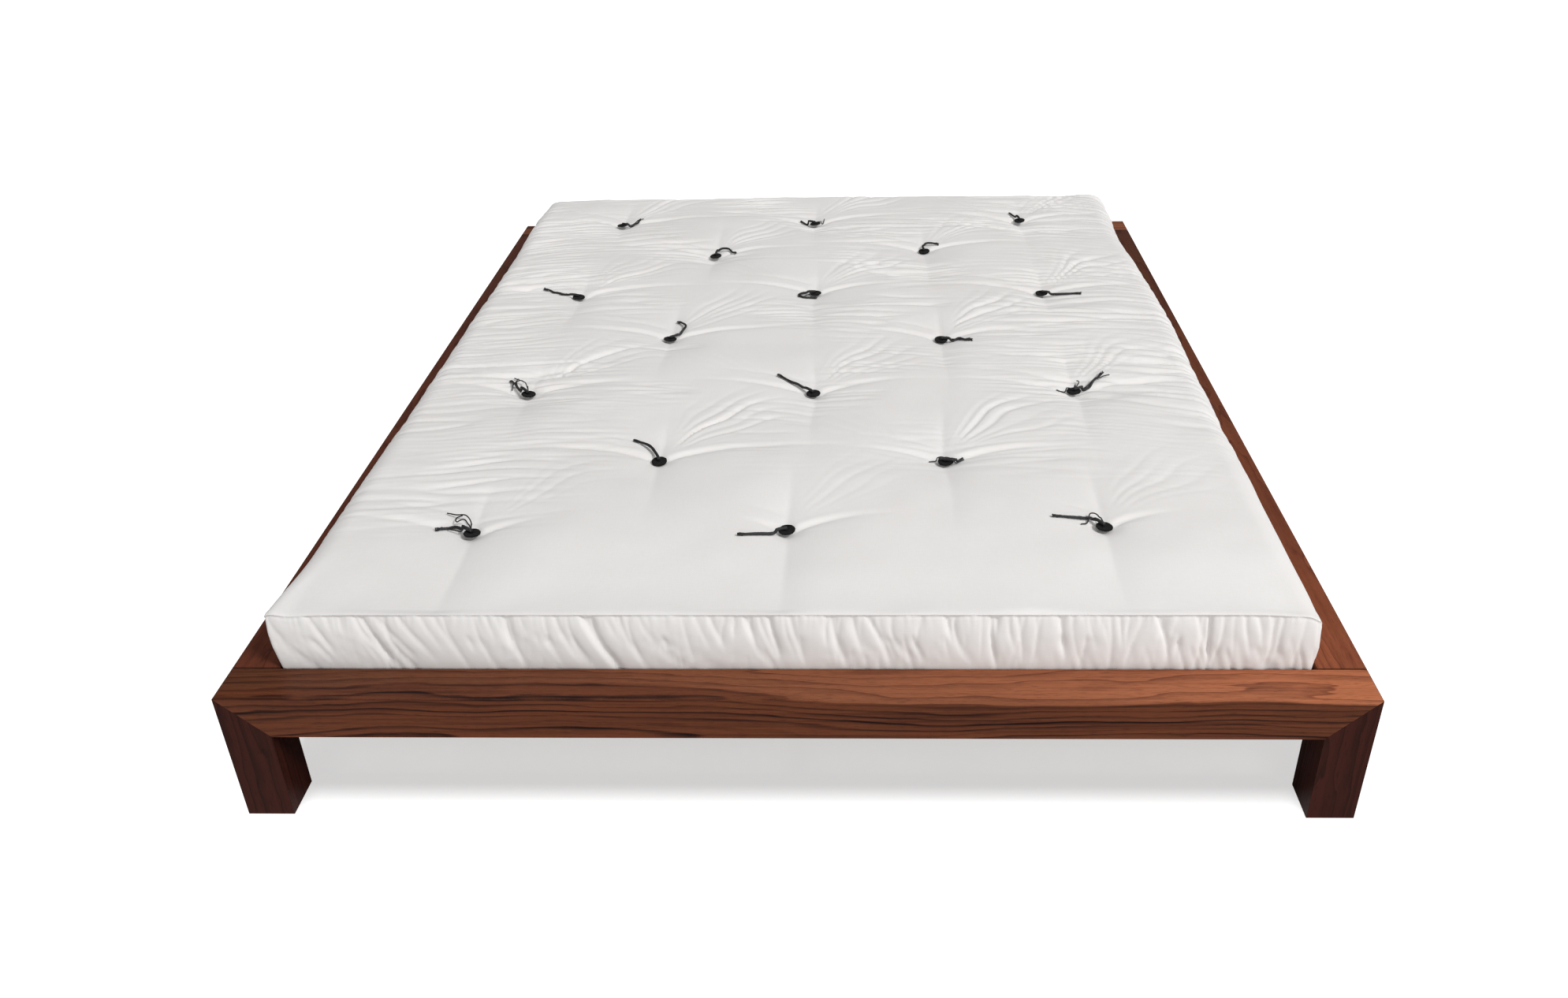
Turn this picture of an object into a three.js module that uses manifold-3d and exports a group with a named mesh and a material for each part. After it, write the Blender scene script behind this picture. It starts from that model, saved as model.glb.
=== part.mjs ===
// Low platform bed: a timber frame with mitred end frames, a slatted base and a tufted futon.
// Millimetres. X is across the bed, +Y is the head end, +Z is up. The origin is on the floor,
// under the middle of the bed.

import * as THREE from 'three';
import { mergeVertices } from 'three/addons/utils/BufferGeometryUtils.js';
import Module from 'manifold-3d';

const wasm = await Module();
wasm.setup();

// Driving sizes
const MATTRESS_WIDTH = 1590;
const MATTRESS_LENGTH = 1990;
const MATTRESS_THICKNESS = 140;
const MATTRESS_ROOM = 6; // free space between the mattress and each rail
const MATTRESS_RECESS = 20; // how far the mattress base lies below the rail top
const SECTION = 74; // square section of the rails and legs
const FRAME_HEIGHT = 235; // floor to rail top

// Clearances
const FIT_GAP = 0.3; // between a piece and the pocket or face that it fits
const BUTT_GAP = 0.5; // between the end of a side rail and an end frame

// Loose tongue across each mitre
const TONGUE_LENGTH = 40; // across the mitre
const TONGUE_WIDTH = 36; // along the mitre
const TONGUE_THICKNESS = 10;

// Hooked plates that join a side rail to an end frame
const PLATE_WIDTH = 16;
const PLATE_THICKNESS = 3;
const PLATE_MARGIN = 8; // timber above and below a plate
const SLOT_WEB = 7; // steel above, between and below the two slots
const SLOT_WIDTH = 5;
const HOOK_THICKNESS = 4;
const HOOK_LIP = 4; // depth of the lip behind the strike plate
const HOOK_DROP = 6; // how far the lip hangs below its slot
const HOOK_RELIEF = 2; // free depth behind the lip

// Slatted base
const LEDGE_WIDTH = 30;
const LEDGE_HEIGHT = 28;
const LEDGE_END_GAP = 1;
const SLAT_COUNT = 13;
const SLAT_WIDTH = 89;
const SLAT_THICKNESS = 19;
const SLAT_END_GAP = 2;
const BEAM_WIDTH = 38;
const BEAM_HEIGHT = 58;
const HANGER_STEEL = 2.5;
const HANGER_DEPTH = 40;
const HANGER_WING = 24;
const HANGER_TOP_GAP = 6; // slat underside to the top of a hanger
const CENTRE_LEG_SECTION = 50;
const TENON_RADIUS = 12;
const TENON_LENGTH = 25;

// Futon
const MATTRESS_EDGE = 34; // rounding of its top and bottom edges
const MATTRESS_CORNER = 62; // corner radius in plan
const TUFT_ACROSS = 545; // between tufts in a row of three
const TUFT_OFFSET = 270; // from the middle to each tuft of a row of two
const TUFT_ROW_PITCH = 260;
const TUFT_ROWS = 7;
// The tufts are tied by eye: how far each lies off the grid, from the foot end, left to right.
const TUFT_DRIFT = [
  [5, 3], [-17, 11], [-38, 19],
  [10, -16], [-11, -20],
  [-16, 1], [12, -2], [-15, 3],
  [-39, 9], [11, -3],
  [-11, -6], [1, 9], [-15, -1],
  [12, 2], [-1, 25],
  [12, -16], [-13, -16], [-10, -4],
];
const DIMPLE_RADIUS = 70;
const DIMPLE_DEPTH = 17;
const DISC_RADIUS = 14;
const DISC_THICKNESS = 3;

// Worked out from the sizes above
const OPEN_WIDTH = MATTRESS_WIDTH + 2 * MATTRESS_ROOM;
const OPEN_LENGTH = MATTRESS_LENGTH + 2 * MATTRESS_ROOM;
const OUTER_WIDTH = OPEN_WIDTH + 2 * SECTION;
const OUTER_LENGTH = OPEN_LENGTH + 2 * SECTION;
const RAIL_BOTTOM = FRAME_HEIGHT - SECTION;
const RAIL_X = (OPEN_WIDTH + SECTION) / 2; // centre line of a side rail
const SLAT_TOP = FRAME_HEIGHT - MATTRESS_RECESS;
const LEDGE_TOP = SLAT_TOP - SLAT_THICKNESS;
const BEAM_BOTTOM = LEDGE_TOP - BEAM_HEIGHT;
const PLATE_HEIGHT = SECTION - 2 * PLATE_MARGIN;
const PLATE_Z = FRAME_HEIGHT - SECTION / 2;
const SLOT_HEIGHT = (PLATE_HEIGHT - 3 * SLOT_WEB) / 2;
const HOOK_REACH = BUTT_GAP + PLATE_THICKNESS + FIT_GAP; // plate face to the lip

const walnut = new THREE.MeshStandardMaterial({ color: 0x6b3a28, roughness: 0.5, metalness: 0 });
const pine = new THREE.MeshStandardMaterial({ color: 0xc9a46e, roughness: 0.65, metalness: 0 });
const steel = new THREE.MeshStandardMaterial({ color: 0x9a9b9d, roughness: 0.4, metalness: 1 });
const cotton = new THREE.MeshStandardMaterial({ color: 0xe9e6e1, roughness: 0.95, metalness: 0 });
const felt = new THREE.MeshStandardMaterial({ color: 0x17171a, roughness: 1, metalness: 0 });

// Geometry to solid and back

function solidOf(geometry) {
  const bare = geometry.clone();
  bare.deleteAttribute('normal');
  bare.deleteAttribute('uv');
  const merged = mergeVertices(bare, 1e-4);
  const mesh = new wasm.Mesh({
    numProp: 3,
    vertProperties: new Float32Array(merged.attributes.position.array),
    triVerts: new Uint32Array(merged.index.array),
  });
  return new wasm.Manifold(mesh);
}

function geometryOf(solid) {
  const mesh = solid.getMesh();
  const geometry = new THREE.BufferGeometry();
  geometry.setAttribute('position', new THREE.BufferAttribute(mesh.vertProperties, 3));
  geometry.setIndex(new THREE.BufferAttribute(mesh.triVerts, 1));
  geometry.computeVertexNormals();
  return geometry;
}

function cut(geometry, cutters) {
  return geometryOf(cutters.reduce((solid, cutter) => solid.subtract(solidOf(cutter)), solidOf(geometry)));
}

function join(geometries) {
  return geometryOf(geometries.map(solidOf).reduce((solid, next) => solid.add(next)));
}

// A box between two corners.
function block(low, high) {
  const size = high.map((value, i) => value - low[i]);
  const centre = high.map((value, i) => (value + low[i]) / 2);
  return new THREE.BoxGeometry(...size).translate(...centre);
}

// An outline of [x, z] points, pushed along +Y from y = 0.
function slab(points, depth) {
  const shape = new THREE.Shape(points.map(([x, z]) => new THREE.Vector2(x, z)));
  const geometry = new THREE.ExtrudeGeometry(shape, { depth, bevelEnabled: false });
  return geometry.rotateX(Math.PI / 2).translate(0, depth, 0);
}

function piece(name, geometry, material, position = [0, 0, 0]) {
  const mesh = new THREE.Mesh(geometry, material);
  mesh.name = name;
  mesh.position.set(...position);
  return mesh;
}

// End frames: a rail and two legs in one plane, mitred at the corners. The frame's own y runs
// from its outer face, at 0, to its inner face, at SECTION.

function tongue(side, clearance) {
  const box = new THREE.BoxGeometry(
    TONGUE_LENGTH + 2 * clearance,
    TONGUE_THICKNESS + 2 * clearance,
    TONGUE_WIDTH + 2 * clearance,
  );
  return box.rotateY((side * Math.PI) / 4).translate(side * RAIL_X, SECTION / 2, PLATE_Z);
}

function strikePocket(side) {
  const x = side * RAIL_X;
  const halfWidth = PLATE_WIDTH / 2 + FIT_GAP;
  const halfHeight = PLATE_HEIGHT / 2 + FIT_GAP;
  const seat = SECTION - PLATE_THICKNESS - FIT_GAP;
  return block([x - halfWidth, seat, PLATE_Z - halfHeight], [x + halfWidth, SECTION + 1, PLATE_Z + halfHeight]);
}

function hookPocket(side) {
  const x = side * RAIL_X;
  const depth = HOOK_REACH - BUTT_GAP + HOOK_LIP + HOOK_RELIEF;
  const low = [x - SLOT_WIDTH / 2, SECTION - depth, PLATE_Z - PLATE_HEIGHT / 2];
  const high = [x + SLOT_WIDTH / 2, SECTION, PLATE_Z + PLATE_HEIGHT / 2];
  return block(low, high);
}

function cornerPockets(side) {
  return [tongue(side, FIT_GAP), strikePocket(side), hookPocket(side)];
}

function endRail() {
  const shift = FIT_GAP * Math.SQRT2;
  const top = OUTER_WIDTH / 2 - shift;
  const bottom = OPEN_WIDTH / 2 - shift;
  const outline = [[-bottom, RAIL_BOTTOM], [bottom, RAIL_BOTTOM], [top, FRAME_HEIGHT], [-top, FRAME_HEIGHT]];
  return cut(slab(outline, SECTION), [...cornerPockets(-1), ...cornerPockets(1)]);
}

function endLeg(side) {
  const outer = side * (OUTER_WIDTH / 2);
  const inner = side * (OPEN_WIDTH / 2);
  const outline = [[inner, 0], [outer, 0], [outer, FRAME_HEIGHT], [inner, RAIL_BOTTOM]];
  return cut(slab(outline, SECTION), cornerPockets(side));
}

function strikePlate() {
  const half = PLATE_WIDTH / 2;
  const plate = block([-half, 0, -PLATE_HEIGHT / 2], [half, PLATE_THICKNESS, PLATE_HEIGHT / 2]);
  const slots = slotBottoms().map((z) =>
    block([-SLOT_WIDTH / 2, -1, z], [SLOT_WIDTH / 2, PLATE_THICKNESS + 1, z + SLOT_HEIGHT]),
  );
  return cut(plate, slots);
}

function slotBottoms() {
  return [-PLATE_HEIGHT / 2 + SLOT_WEB, SLOT_WEB / 2];
}

function endFrame(end, leftOfFrame, rightOfFrame) {
  const group = new THREE.Group();
  group.add(piece(`${end}_rail`, endRail(), walnut));
  for (const [side, hand] of [[-1, leftOfFrame], [1, rightOfFrame]]) {
    const plateAt = [side * RAIL_X, SECTION - PLATE_THICKNESS, PLATE_Z];
    group.add(piece(`${end}_leg_${hand}`, endLeg(side), walnut));
    group.add(piece(`mitre_tongue_${end}_${hand}`, tongue(side, 0), pine));
    group.add(piece(`strike_plate_${end}_${hand}`, strikePlate(), steel, plateAt));
  }
  return group;
}

// Side rails, each with a hooked plate let into both ends.

function sideRail() {
  const half = OPEN_LENGTH / 2 - BUTT_GAP;
  const rail = block([-SECTION / 2, -half, -SECTION / 2], [SECTION / 2, half, SECTION / 2]);
  const width = PLATE_WIDTH / 2 + FIT_GAP;
  const height = PLATE_HEIGHT / 2 + FIT_GAP;
  const seat = half - PLATE_THICKNESS - FIT_GAP;
  const headPocket = block([-width, seat, -height], [width, half + 1, height]);
  const footPocket = block([-width, -half - 1, -height], [width, -seat, height]);
  return cut(rail, [headPocket, footPocket]);
}

// The plate's outer face is at y = 0, and its two hooks point along +Y.
function hookPlate() {
  const half = PLATE_WIDTH / 2;
  const plate = block([-half, -PLATE_THICKNESS, -PLATE_HEIGHT / 2], [half, 0, PLATE_HEIGHT / 2]);
  return join([plate, ...slotBottoms().flatMap(hook)]);
}

function hook(slotBottom) {
  const half = HOOK_THICKNESS / 2;
  const foot = slotBottom + FIT_GAP;
  const head = slotBottom + SLOT_HEIGHT - HOOK_DROP - FIT_GAP;
  const neck = block([-half, -1, foot], [half, HOOK_REACH + HOOK_LIP, head]);
  const lip = block([-half, HOOK_REACH, slotBottom - HOOK_DROP], [half, HOOK_REACH + HOOK_LIP, head]);
  return [neck, lip];
}

function sideRails() {
  const group = new THREE.Group();
  const plateY = OPEN_LENGTH / 2 - BUTT_GAP;
  for (const [side, hand] of [[-1, 'left'], [1, 'right']]) {
    const x = side * RAIL_X;
    const foot = piece(`hook_plate_foot_${hand}`, hookPlate(), steel, [x, -plateY, PLATE_Z]);
    foot.rotation.z = Math.PI;
    group.add(piece(`side_rail_${hand}`, sideRail(), walnut, [x, 0, PLATE_Z]));
    group.add(piece(`hook_plate_head_${hand}`, hookPlate(), steel, [x, plateY, PLATE_Z]));
    group.add(foot);
  }
  return group;
}

// Slatted base: ledges on the side rails, slats across them, and a beam down the middle.

function ledges() {
  const group = new THREE.Group();
  const length = OPEN_LENGTH - 2 * LEDGE_END_GAP;
  for (const [side, hand] of [[-1, 'left'], [1, 'right']]) {
    const x = side * (OPEN_WIDTH / 2 - LEDGE_WIDTH / 2);
    const bar = new THREE.BoxGeometry(LEDGE_WIDTH, length, LEDGE_HEIGHT);
    group.add(piece(`slat_ledge_${hand}`, bar, pine, [x, 0, LEDGE_TOP - LEDGE_HEIGHT / 2]));
  }
  return group;
}

function slats() {
  const group = new THREE.Group();
  const gap = (OPEN_LENGTH - SLAT_COUNT * SLAT_WIDTH) / (SLAT_COUNT + 1);
  const board = new THREE.BoxGeometry(OPEN_WIDTH - 2 * SLAT_END_GAP, SLAT_WIDTH, SLAT_THICKNESS);
  for (let i = 0; i < SLAT_COUNT; i++) {
    const y = -OPEN_LENGTH / 2 + gap + SLAT_WIDTH / 2 + i * (gap + SLAT_WIDTH);
    group.add(piece(`slat_${twoDigits(i + 1)}`, board, pine, [0, y, LEDGE_TOP + SLAT_THICKNESS / 2]));
  }
  return group;
}

function twoDigits(number) {
  return String(number).padStart(2, '0');
}

function centreBeam() {
  const halfLength = OPEN_LENGTH / 2 - BUTT_GAP;
  const bar = block([-BEAM_WIDTH / 2, -halfLength, BEAM_BOTTOM], [BEAM_WIDTH / 2, halfLength, LEDGE_TOP]);
  const mortise = new THREE.CylinderGeometry(TENON_RADIUS + FIT_GAP, TENON_RADIUS + FIT_GAP, TENON_LENGTH * 2, 32);
  return cut(bar, [mortise.rotateX(Math.PI / 2).translate(0, 0, BEAM_BOTTOM + FIT_GAP)]);
}

function centreLeg() {
  const half = CENTRE_LEG_SECTION / 2;
  const height = BEAM_BOTTOM - FIT_GAP;
  const post = block([-half, -half, 0], [half, half, height]);
  const tenon = new THREE.CylinderGeometry(TENON_RADIUS, TENON_RADIUS, TENON_LENGTH * 2, 32);
  return join([post, tenon.rotateX(Math.PI / 2).translate(0, 0, height)]);
}

// A steel stirrup for one end of the beam. Its wings lie on the rail, at y = 0.
function beamHanger() {
  const inner = BEAM_WIDTH / 2 + FIT_GAP;
  const outer = inner + HANGER_STEEL;
  const floor = BEAM_BOTTOM - FIT_GAP;
  const top = LEDGE_TOP - HANGER_TOP_GAP;
  const wingFoot = RAIL_BOTTOM + HANGER_TOP_GAP;
  const outline = [
    [-outer, floor - HANGER_STEEL], [outer, floor - HANGER_STEEL], [outer, top], [inner, top],
    [inner, floor], [-inner, floor], [-inner, top], [-outer, top],
  ];
  const wings = [-1, 1].map((side) => {
    const ends = [side * (outer - 1), side * (outer + HANGER_WING)].sort((a, b) => a - b);
    return block([ends[0], 0, wingFoot], [ends[1], HANGER_STEEL, top]);
  });
  return join([slab(outline, HANGER_DEPTH), ...wings]);
}

function centreSupport() {
  const group = new THREE.Group();
  const hangerY = OPEN_LENGTH / 2 - FIT_GAP;
  const headHanger = piece('beam_hanger_head', beamHanger(), steel, [0, hangerY, 0]);
  headHanger.rotation.z = Math.PI;
  group.add(piece('centre_beam', centreBeam(), pine));
  group.add(piece('centre_leg', centreLeg(), pine));
  group.add(piece('beam_hanger_foot', beamHanger(), steel, [0, -hangerY, 0]));
  group.add(headHanger);
  return group;
}

// Futon: a cotton pad drawn in by felt-backed tufts.

function tuftCentres() {
  const centres = [];
  for (let row = 0; row < TUFT_ROWS; row++) {
    const y = (row - (TUFT_ROWS - 1) / 2) * TUFT_ROW_PITCH;
    const across = row % 2 === 0 ? [-TUFT_ACROSS, 0, TUFT_ACROSS] : [-TUFT_OFFSET, TUFT_OFFSET];
    across.forEach((x) => centres.push([x, y]));
  }
  return centres.map(([x, y], i) => [x + TUFT_DRIFT[i][0], y + TUFT_DRIFT[i][1]]);
}

function roundedRectangle(width, length, radius) {
  const x = width / 2 - radius;
  const y = length / 2 - radius;
  const shape = new THREE.Shape();
  shape.absarc(x, y, radius, 0, Math.PI / 2);
  shape.absarc(-x, y, radius, Math.PI / 2, Math.PI);
  shape.absarc(-x, -y, radius, Math.PI, Math.PI * 1.5);
  shape.absarc(x, -y, radius, Math.PI * 1.5, Math.PI * 2);
  shape.closePath();
  return shape;
}

// A funnel with a flat bottom for the disc, open at the top of the pad.
function dimple([x, y]) {
  const bottom = MATTRESS_THICKNESS - DIMPLE_DEPTH;
  const profile = [
    new THREE.Vector2(0, bottom),
    new THREE.Vector2(DISC_RADIUS + FIT_GAP, bottom),
    new THREE.Vector2(DIMPLE_RADIUS, MATTRESS_THICKNESS),
    new THREE.Vector2(DIMPLE_RADIUS, MATTRESS_THICKNESS + 1),
    new THREE.Vector2(0, MATTRESS_THICKNESS + 1),
  ];
  return new THREE.LatheGeometry(profile, 24).rotateX(Math.PI / 2).translate(x, y, 0);
}

function futonPad() {
  const width = MATTRESS_WIDTH - 2 * MATTRESS_EDGE;
  const length = MATTRESS_LENGTH - 2 * MATTRESS_EDGE;
  const shape = roundedRectangle(width, length, MATTRESS_CORNER - MATTRESS_EDGE);
  const pad = new THREE.ExtrudeGeometry(shape, {
    depth: MATTRESS_THICKNESS - 2 * MATTRESS_EDGE,
    bevelThickness: MATTRESS_EDGE,
    bevelSize: MATTRESS_EDGE,
    bevelSegments: 5,
    curveSegments: 6,
  });
  return cut(pad.translate(0, 0, MATTRESS_EDGE), tuftCentres().map(dimple));
}

function futon() {
  const group = new THREE.Group();
  const disc = new THREE.CylinderGeometry(DISC_RADIUS, DISC_RADIUS, DISC_THICKNESS, 24);
  const discZ = MATTRESS_THICKNESS - DIMPLE_DEPTH + FIT_GAP + DISC_THICKNESS / 2;
  disc.rotateX(Math.PI / 2);
  group.add(piece('futon_mattress', futonPad(), cotton));
  tuftCentres().forEach(([x, y], i) => {
    group.add(piece(`tuft_disc_${twoDigits(i + 1)}`, disc, felt, [x, y, discZ]));
  });
  group.position.z = SLAT_TOP + FIT_GAP;
  return group;
}

const bed = new THREE.Group();
const footFrame = endFrame('foot', 'left', 'right');
const headFrame = endFrame('head', 'right', 'left');
footFrame.position.y = -OUTER_LENGTH / 2;
headFrame.position.y = OUTER_LENGTH / 2;
headFrame.rotation.z = Math.PI;
bed.add(footFrame, headFrame, sideRails(), ledges(), slats(), centreSupport(), futon());

export default bed;
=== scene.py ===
"""A low walnut platform bed with a tufted cotton futon, seen from its foot end."""

import math

import bpy
import numpy as np
from mathutils import Matrix, Vector
from mathutils.bvhtree import BVHTree


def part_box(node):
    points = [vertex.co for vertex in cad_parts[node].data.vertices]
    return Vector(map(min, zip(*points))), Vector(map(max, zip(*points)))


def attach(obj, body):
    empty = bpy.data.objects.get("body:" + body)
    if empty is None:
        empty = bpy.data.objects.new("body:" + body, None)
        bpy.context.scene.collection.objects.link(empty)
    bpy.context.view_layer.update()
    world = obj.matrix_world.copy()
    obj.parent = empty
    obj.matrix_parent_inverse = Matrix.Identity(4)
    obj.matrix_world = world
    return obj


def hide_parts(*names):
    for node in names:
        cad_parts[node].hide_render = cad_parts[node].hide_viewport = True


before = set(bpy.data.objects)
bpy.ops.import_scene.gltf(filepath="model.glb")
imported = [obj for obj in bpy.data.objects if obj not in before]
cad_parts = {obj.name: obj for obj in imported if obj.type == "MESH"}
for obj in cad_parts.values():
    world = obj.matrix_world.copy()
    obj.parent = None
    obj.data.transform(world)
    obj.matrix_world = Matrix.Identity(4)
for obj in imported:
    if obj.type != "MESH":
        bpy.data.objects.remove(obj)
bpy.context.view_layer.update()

MM = 0.001


# ---------------------------------------------------------------- small helpers

def mesh_object(name, points, faces, material=None, smooth=True):
    """A new mesh in the bed's frame."""
    mesh = bpy.data.meshes.new(name)
    mesh.from_pydata([tuple(p) for p in points], [], [tuple(f) for f in faces])
    mesh.update()
    if smooth:
        mesh.shade_smooth()
    made = bpy.data.objects.new(name, mesh)
    bpy.context.scene.collection.objects.link(made)
    if material:
        mesh.materials.append(material)
    return made


def ring_faces(rings, spokes, closed_below=True):
    """Faces of a round body whose points run ring by ring, with a flat face on its first end and, unless
    closed_below is False, on its last.
    """
    faces = []
    for k in range(rings - 1):
        for s in range(spokes):
            a, b = k * spokes + s, k * spokes + (s + 1) % spokes
            faces.append((a, a + spokes, b + spokes, b))
    faces.append(tuple(range(spokes)))
    if closed_below:
        faces.append(tuple((rings - 1) * spokes + s for s in reversed(range(spokes))))
    return faces


def merged(parts):
    """One list of points and one of faces for parts that share a mesh."""
    points, faces, first = [], [], 0
    for part_points, part_faces in parts:
        points.append(part_points)
        faces += [tuple(first + i for i in face) for face in part_faces]
        first += len(part_points)
    return np.concatenate(points), faces


def smoothstep(low, high, value):
    """0 below low, 1 above high, and a smooth rise between."""
    t = np.clip((value - low) / (high - low), 0.0, 1.0)
    return t * t * (3.0 - 2.0 * t)


def swell(value, width):
    """1 at 0, dying away smoothly over the width on both sides."""
    return np.exp(-(value / width) ** 2)


LATTICE_SIZE = 256


def lattice(seed):
    """Unit gradients on a repeating square lattice."""
    angle = np.random.default_rng(seed).uniform(0, 2 * np.pi, (LATTICE_SIZE, LATTICE_SIZE))
    return np.cos(angle), np.sin(angle)


def noise(x, y, seed=0):
    """Smooth gradient noise, about -1 to 1, one swing per unit of x and y."""
    gx, gy = lattice(seed)
    x0, y0 = np.floor(x).astype(int), np.floor(y).astype(int)
    fx, fy = x - x0, y - y0
    u, v = fx ** 3 * (fx * (6 * fx - 15) + 10), fy ** 3 * (fy * (6 * fy - 15) + 10)

    def corner(i, j):
        a, b = (x0 + i) % LATTICE_SIZE, (y0 + j) % LATTICE_SIZE
        return gx[a, b] * (fx - i) + gy[a, b] * (fy - j)

    near = corner(0, 0) * (1 - u) + corner(1, 0) * u
    far = corner(0, 1) * (1 - u) + corner(1, 1) * u
    return (near * (1 - v) + far * v) * 1.6


# ---------------------------------------------------------------- camera

CAMERA_PLACE = Vector((0.1026, -2.5522, 1.4762))
CAMERA_YAW = math.radians(1.757)
CAMERA_DOWN = math.radians(30.406)
CAMERA_ROLL = math.radians(-1.052)
CAMERA_LENS = 29.34                  # millimetres, on a sensor 36 mm wide
CAMERA_SENSOR = 36.0
CAMERA_SHIFT = (-0.0263, -0.0095)
CAMERA_REACH = 60.0                  # metres


def place_camera():
    data = bpy.data.cameras.new("camera")
    data.sensor_width = CAMERA_SENSOR
    data.lens = CAMERA_LENS
    data.shift_x, data.shift_y = CAMERA_SHIFT
    data.clip_end = CAMERA_REACH
    camera = bpy.data.objects.new("camera", data)
    turn = (Matrix.Rotation(CAMERA_YAW, 4, "Z")
            @ Matrix.Rotation(math.pi / 2 - CAMERA_DOWN, 4, "X")
            @ Matrix.Rotation(CAMERA_ROLL, 4, "Z"))
    camera.matrix_world = Matrix.Translation(CAMERA_PLACE) @ turn
    bpy.context.scene.collection.objects.link(camera)
    bpy.context.scene.camera = camera


place_camera()


# ---------------------------------------------------------------- shader nodes

def feed(tree, socket, value):
    """Links another node's output to the socket, or sets it to a plain value."""
    if isinstance(value, bpy.types.NodeSocket):
        tree.links.new(value, socket)
    else:
        socket.default_value = value


def add_node(tree, kind, inputs=None, **settings):
    made = tree.nodes.new(kind)
    for name, value in settings.items():
        setattr(made, name, value)
    for name, value in (inputs or {}).items():
        feed(tree, made.inputs[name], value)
    return made


def calc(tree, operation, *values, clamp=False):
    """A Math node's result."""
    made = add_node(tree, "ShaderNodeMath", operation=operation, use_clamp=clamp)
    for i, value in enumerate(values):
        feed(tree, made.inputs[i], value)
    return made.outputs[0]


def line(tree, value, times, plus):
    """value times one number plus another."""
    return calc(tree, "MULTIPLY_ADD", value, times, plus)


def vector_calc(tree, operation, *values):
    made = add_node(tree, "ShaderNodeVectorMath", operation=operation)
    for i, value in enumerate(values):
        feed(tree, made.inputs[i], value)
    return made.outputs[0]


def on_all_axes(tree, value):
    """A vector with the same value three times."""
    return add_node(tree, "ShaderNodeCombineXYZ", {"X": value, "Y": value, "Z": value}).outputs[0]


def blend_colours(tree, share, first, second):
    """The first colour where share is 0 and the second where it is 1."""
    made = add_node(tree, "ShaderNodeMix", data_type="RGBA")
    feed(tree, made.inputs[0], share)
    feed(tree, made.inputs[6], first)
    feed(tree, made.inputs[7], second)
    return made.outputs[2]


def ramp(tree, value, stops):
    """A colour ramp's colour; stops are (place, colour or grey) pairs."""
    made = add_node(tree, "ShaderNodeValToRGB", {"Fac": value})
    band = made.color_ramp
    while len(band.elements) < len(stops):
        band.elements.new(0.5)
    for element, (place, colour) in zip(band.elements, stops):
        element.position = place
        element.color = (*colour, 1) if hasattr(colour, "__len__") else (colour, colour, colour, 1)
    return made.outputs["Color"]


def noise_value(tree, vector, scale, detail=2.0, roughness=0.5, distortion=0.0):
    """Noise from 0 to 1. A scale of three numbers stretches it along the axes."""
    if hasattr(scale, "__len__"):
        vector, scale = stretched(tree, vector, scale), 1.0
    return add_node(tree, "ShaderNodeTexNoise", {
        "Vector": vector, "Scale": scale, "Detail": detail, "Roughness": roughness,
        "Distortion": distortion}).outputs["Fac"]


def stretched(tree, vector, scale):
    return add_node(tree, "ShaderNodeMapping", {"Vector": vector, "Scale": scale}).outputs[0]


def new_group(name, inputs, outputs):
    """A shader node group with named sockets. inputs are (name, kind, default)."""
    tree = bpy.data.node_groups.new(name, "ShaderNodeTree")
    for label, kind, default in inputs:
        socket = tree.interface.new_socket(name=label, in_out="INPUT", socket_type=kind)
        if default is not None:
            socket.default_value = default
    for label, kind in outputs:
        tree.interface.new_socket(name=label, in_out="OUTPUT", socket_type=kind)
    return tree, add_node(tree, "NodeGroupInput").outputs, add_node(tree, "NodeGroupOutput").inputs


def use_group(tree, group, place):
    """The group's node, working at that place."""
    made = add_node(tree, "ShaderNodeGroup", node_tree=group)
    tree.links.new(place, made.inputs["Vector"])
    return made


def new_material(name, **fixed):
    """A material with a Principled shader; fixed values go straight on its sockets."""
    material = bpy.data.materials.new(name)
    material.use_nodes = True
    tree = material.node_tree
    shader = tree.nodes["Principled BSDF"]
    for label, value in fixed.items():
        shader.inputs[label.replace("_", " ")].default_value = value
    place = add_node(tree, "ShaderNodeTexCoord").outputs["Object"]
    return material, tree, shader, place


def bump_from(tree, shader, height, strength, distance):
    made = add_node(tree, "ShaderNodeBump", {
        "Height": height, "Strength": strength, "Distance": distance})
    tree.links.new(made.outputs["Normal"], shader.inputs["Normal"])


# Noise scales of the timber, per metre: along the grain and twice across it.
SLOW_BEND = (1.1, 5.0, 5.0)
FINE_BEND = (7.0, 26.0, 26.0)
RING_EDGE = (2.0, 60.0, 60.0)
FIBRE = (2.5, 210.0, 210.0)
STAIN = (1.3, 14.0, 14.0)
VESSEL = (45.0, 1700.0, 1700.0)
SLOW_BEND_TIMES = 4.0                # the slow bend is this many times the figure
FINE_BEND_DEPTH = 16 * MM
HEART_EDGE = 7 * MM                  # the heart turns into the outer wood over this width
OUTER_CONTRAST = 0.62
LATE_WOOD = [(0.0, 0.06), (0.5, 0.20), (0.80, 0.98), (0.90, 0.80), (1.0, 0.06)]
CONTOUR = [(0.0, 0.0), (0.84, 0.0), (0.93, 0.55), (0.96, 0.55), (1.0, 0.0)]
OPEN_PORES = [(0.0, 0.0), (0.60, 0.0), (0.68, 1.0)]


def bend(tree, place, scale, depth):
    """A wander across the grain, by up to half of depth."""
    drift = add_node(tree, "ShaderNodeTexNoise", {
        "Vector": stretched(tree, place, scale), "Scale": 1.0, "Detail": 2.0}).outputs["Color"]
    across = add_node(tree, "ShaderNodeCombineXYZ", {"X": 0.0, "Y": depth, "Z": depth}).outputs[0]
    return vector_calc(tree, "MULTIPLY", vector_calc(tree, "SUBTRACT", drift, (0.5, 0.5, 0.5)), across)


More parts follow.
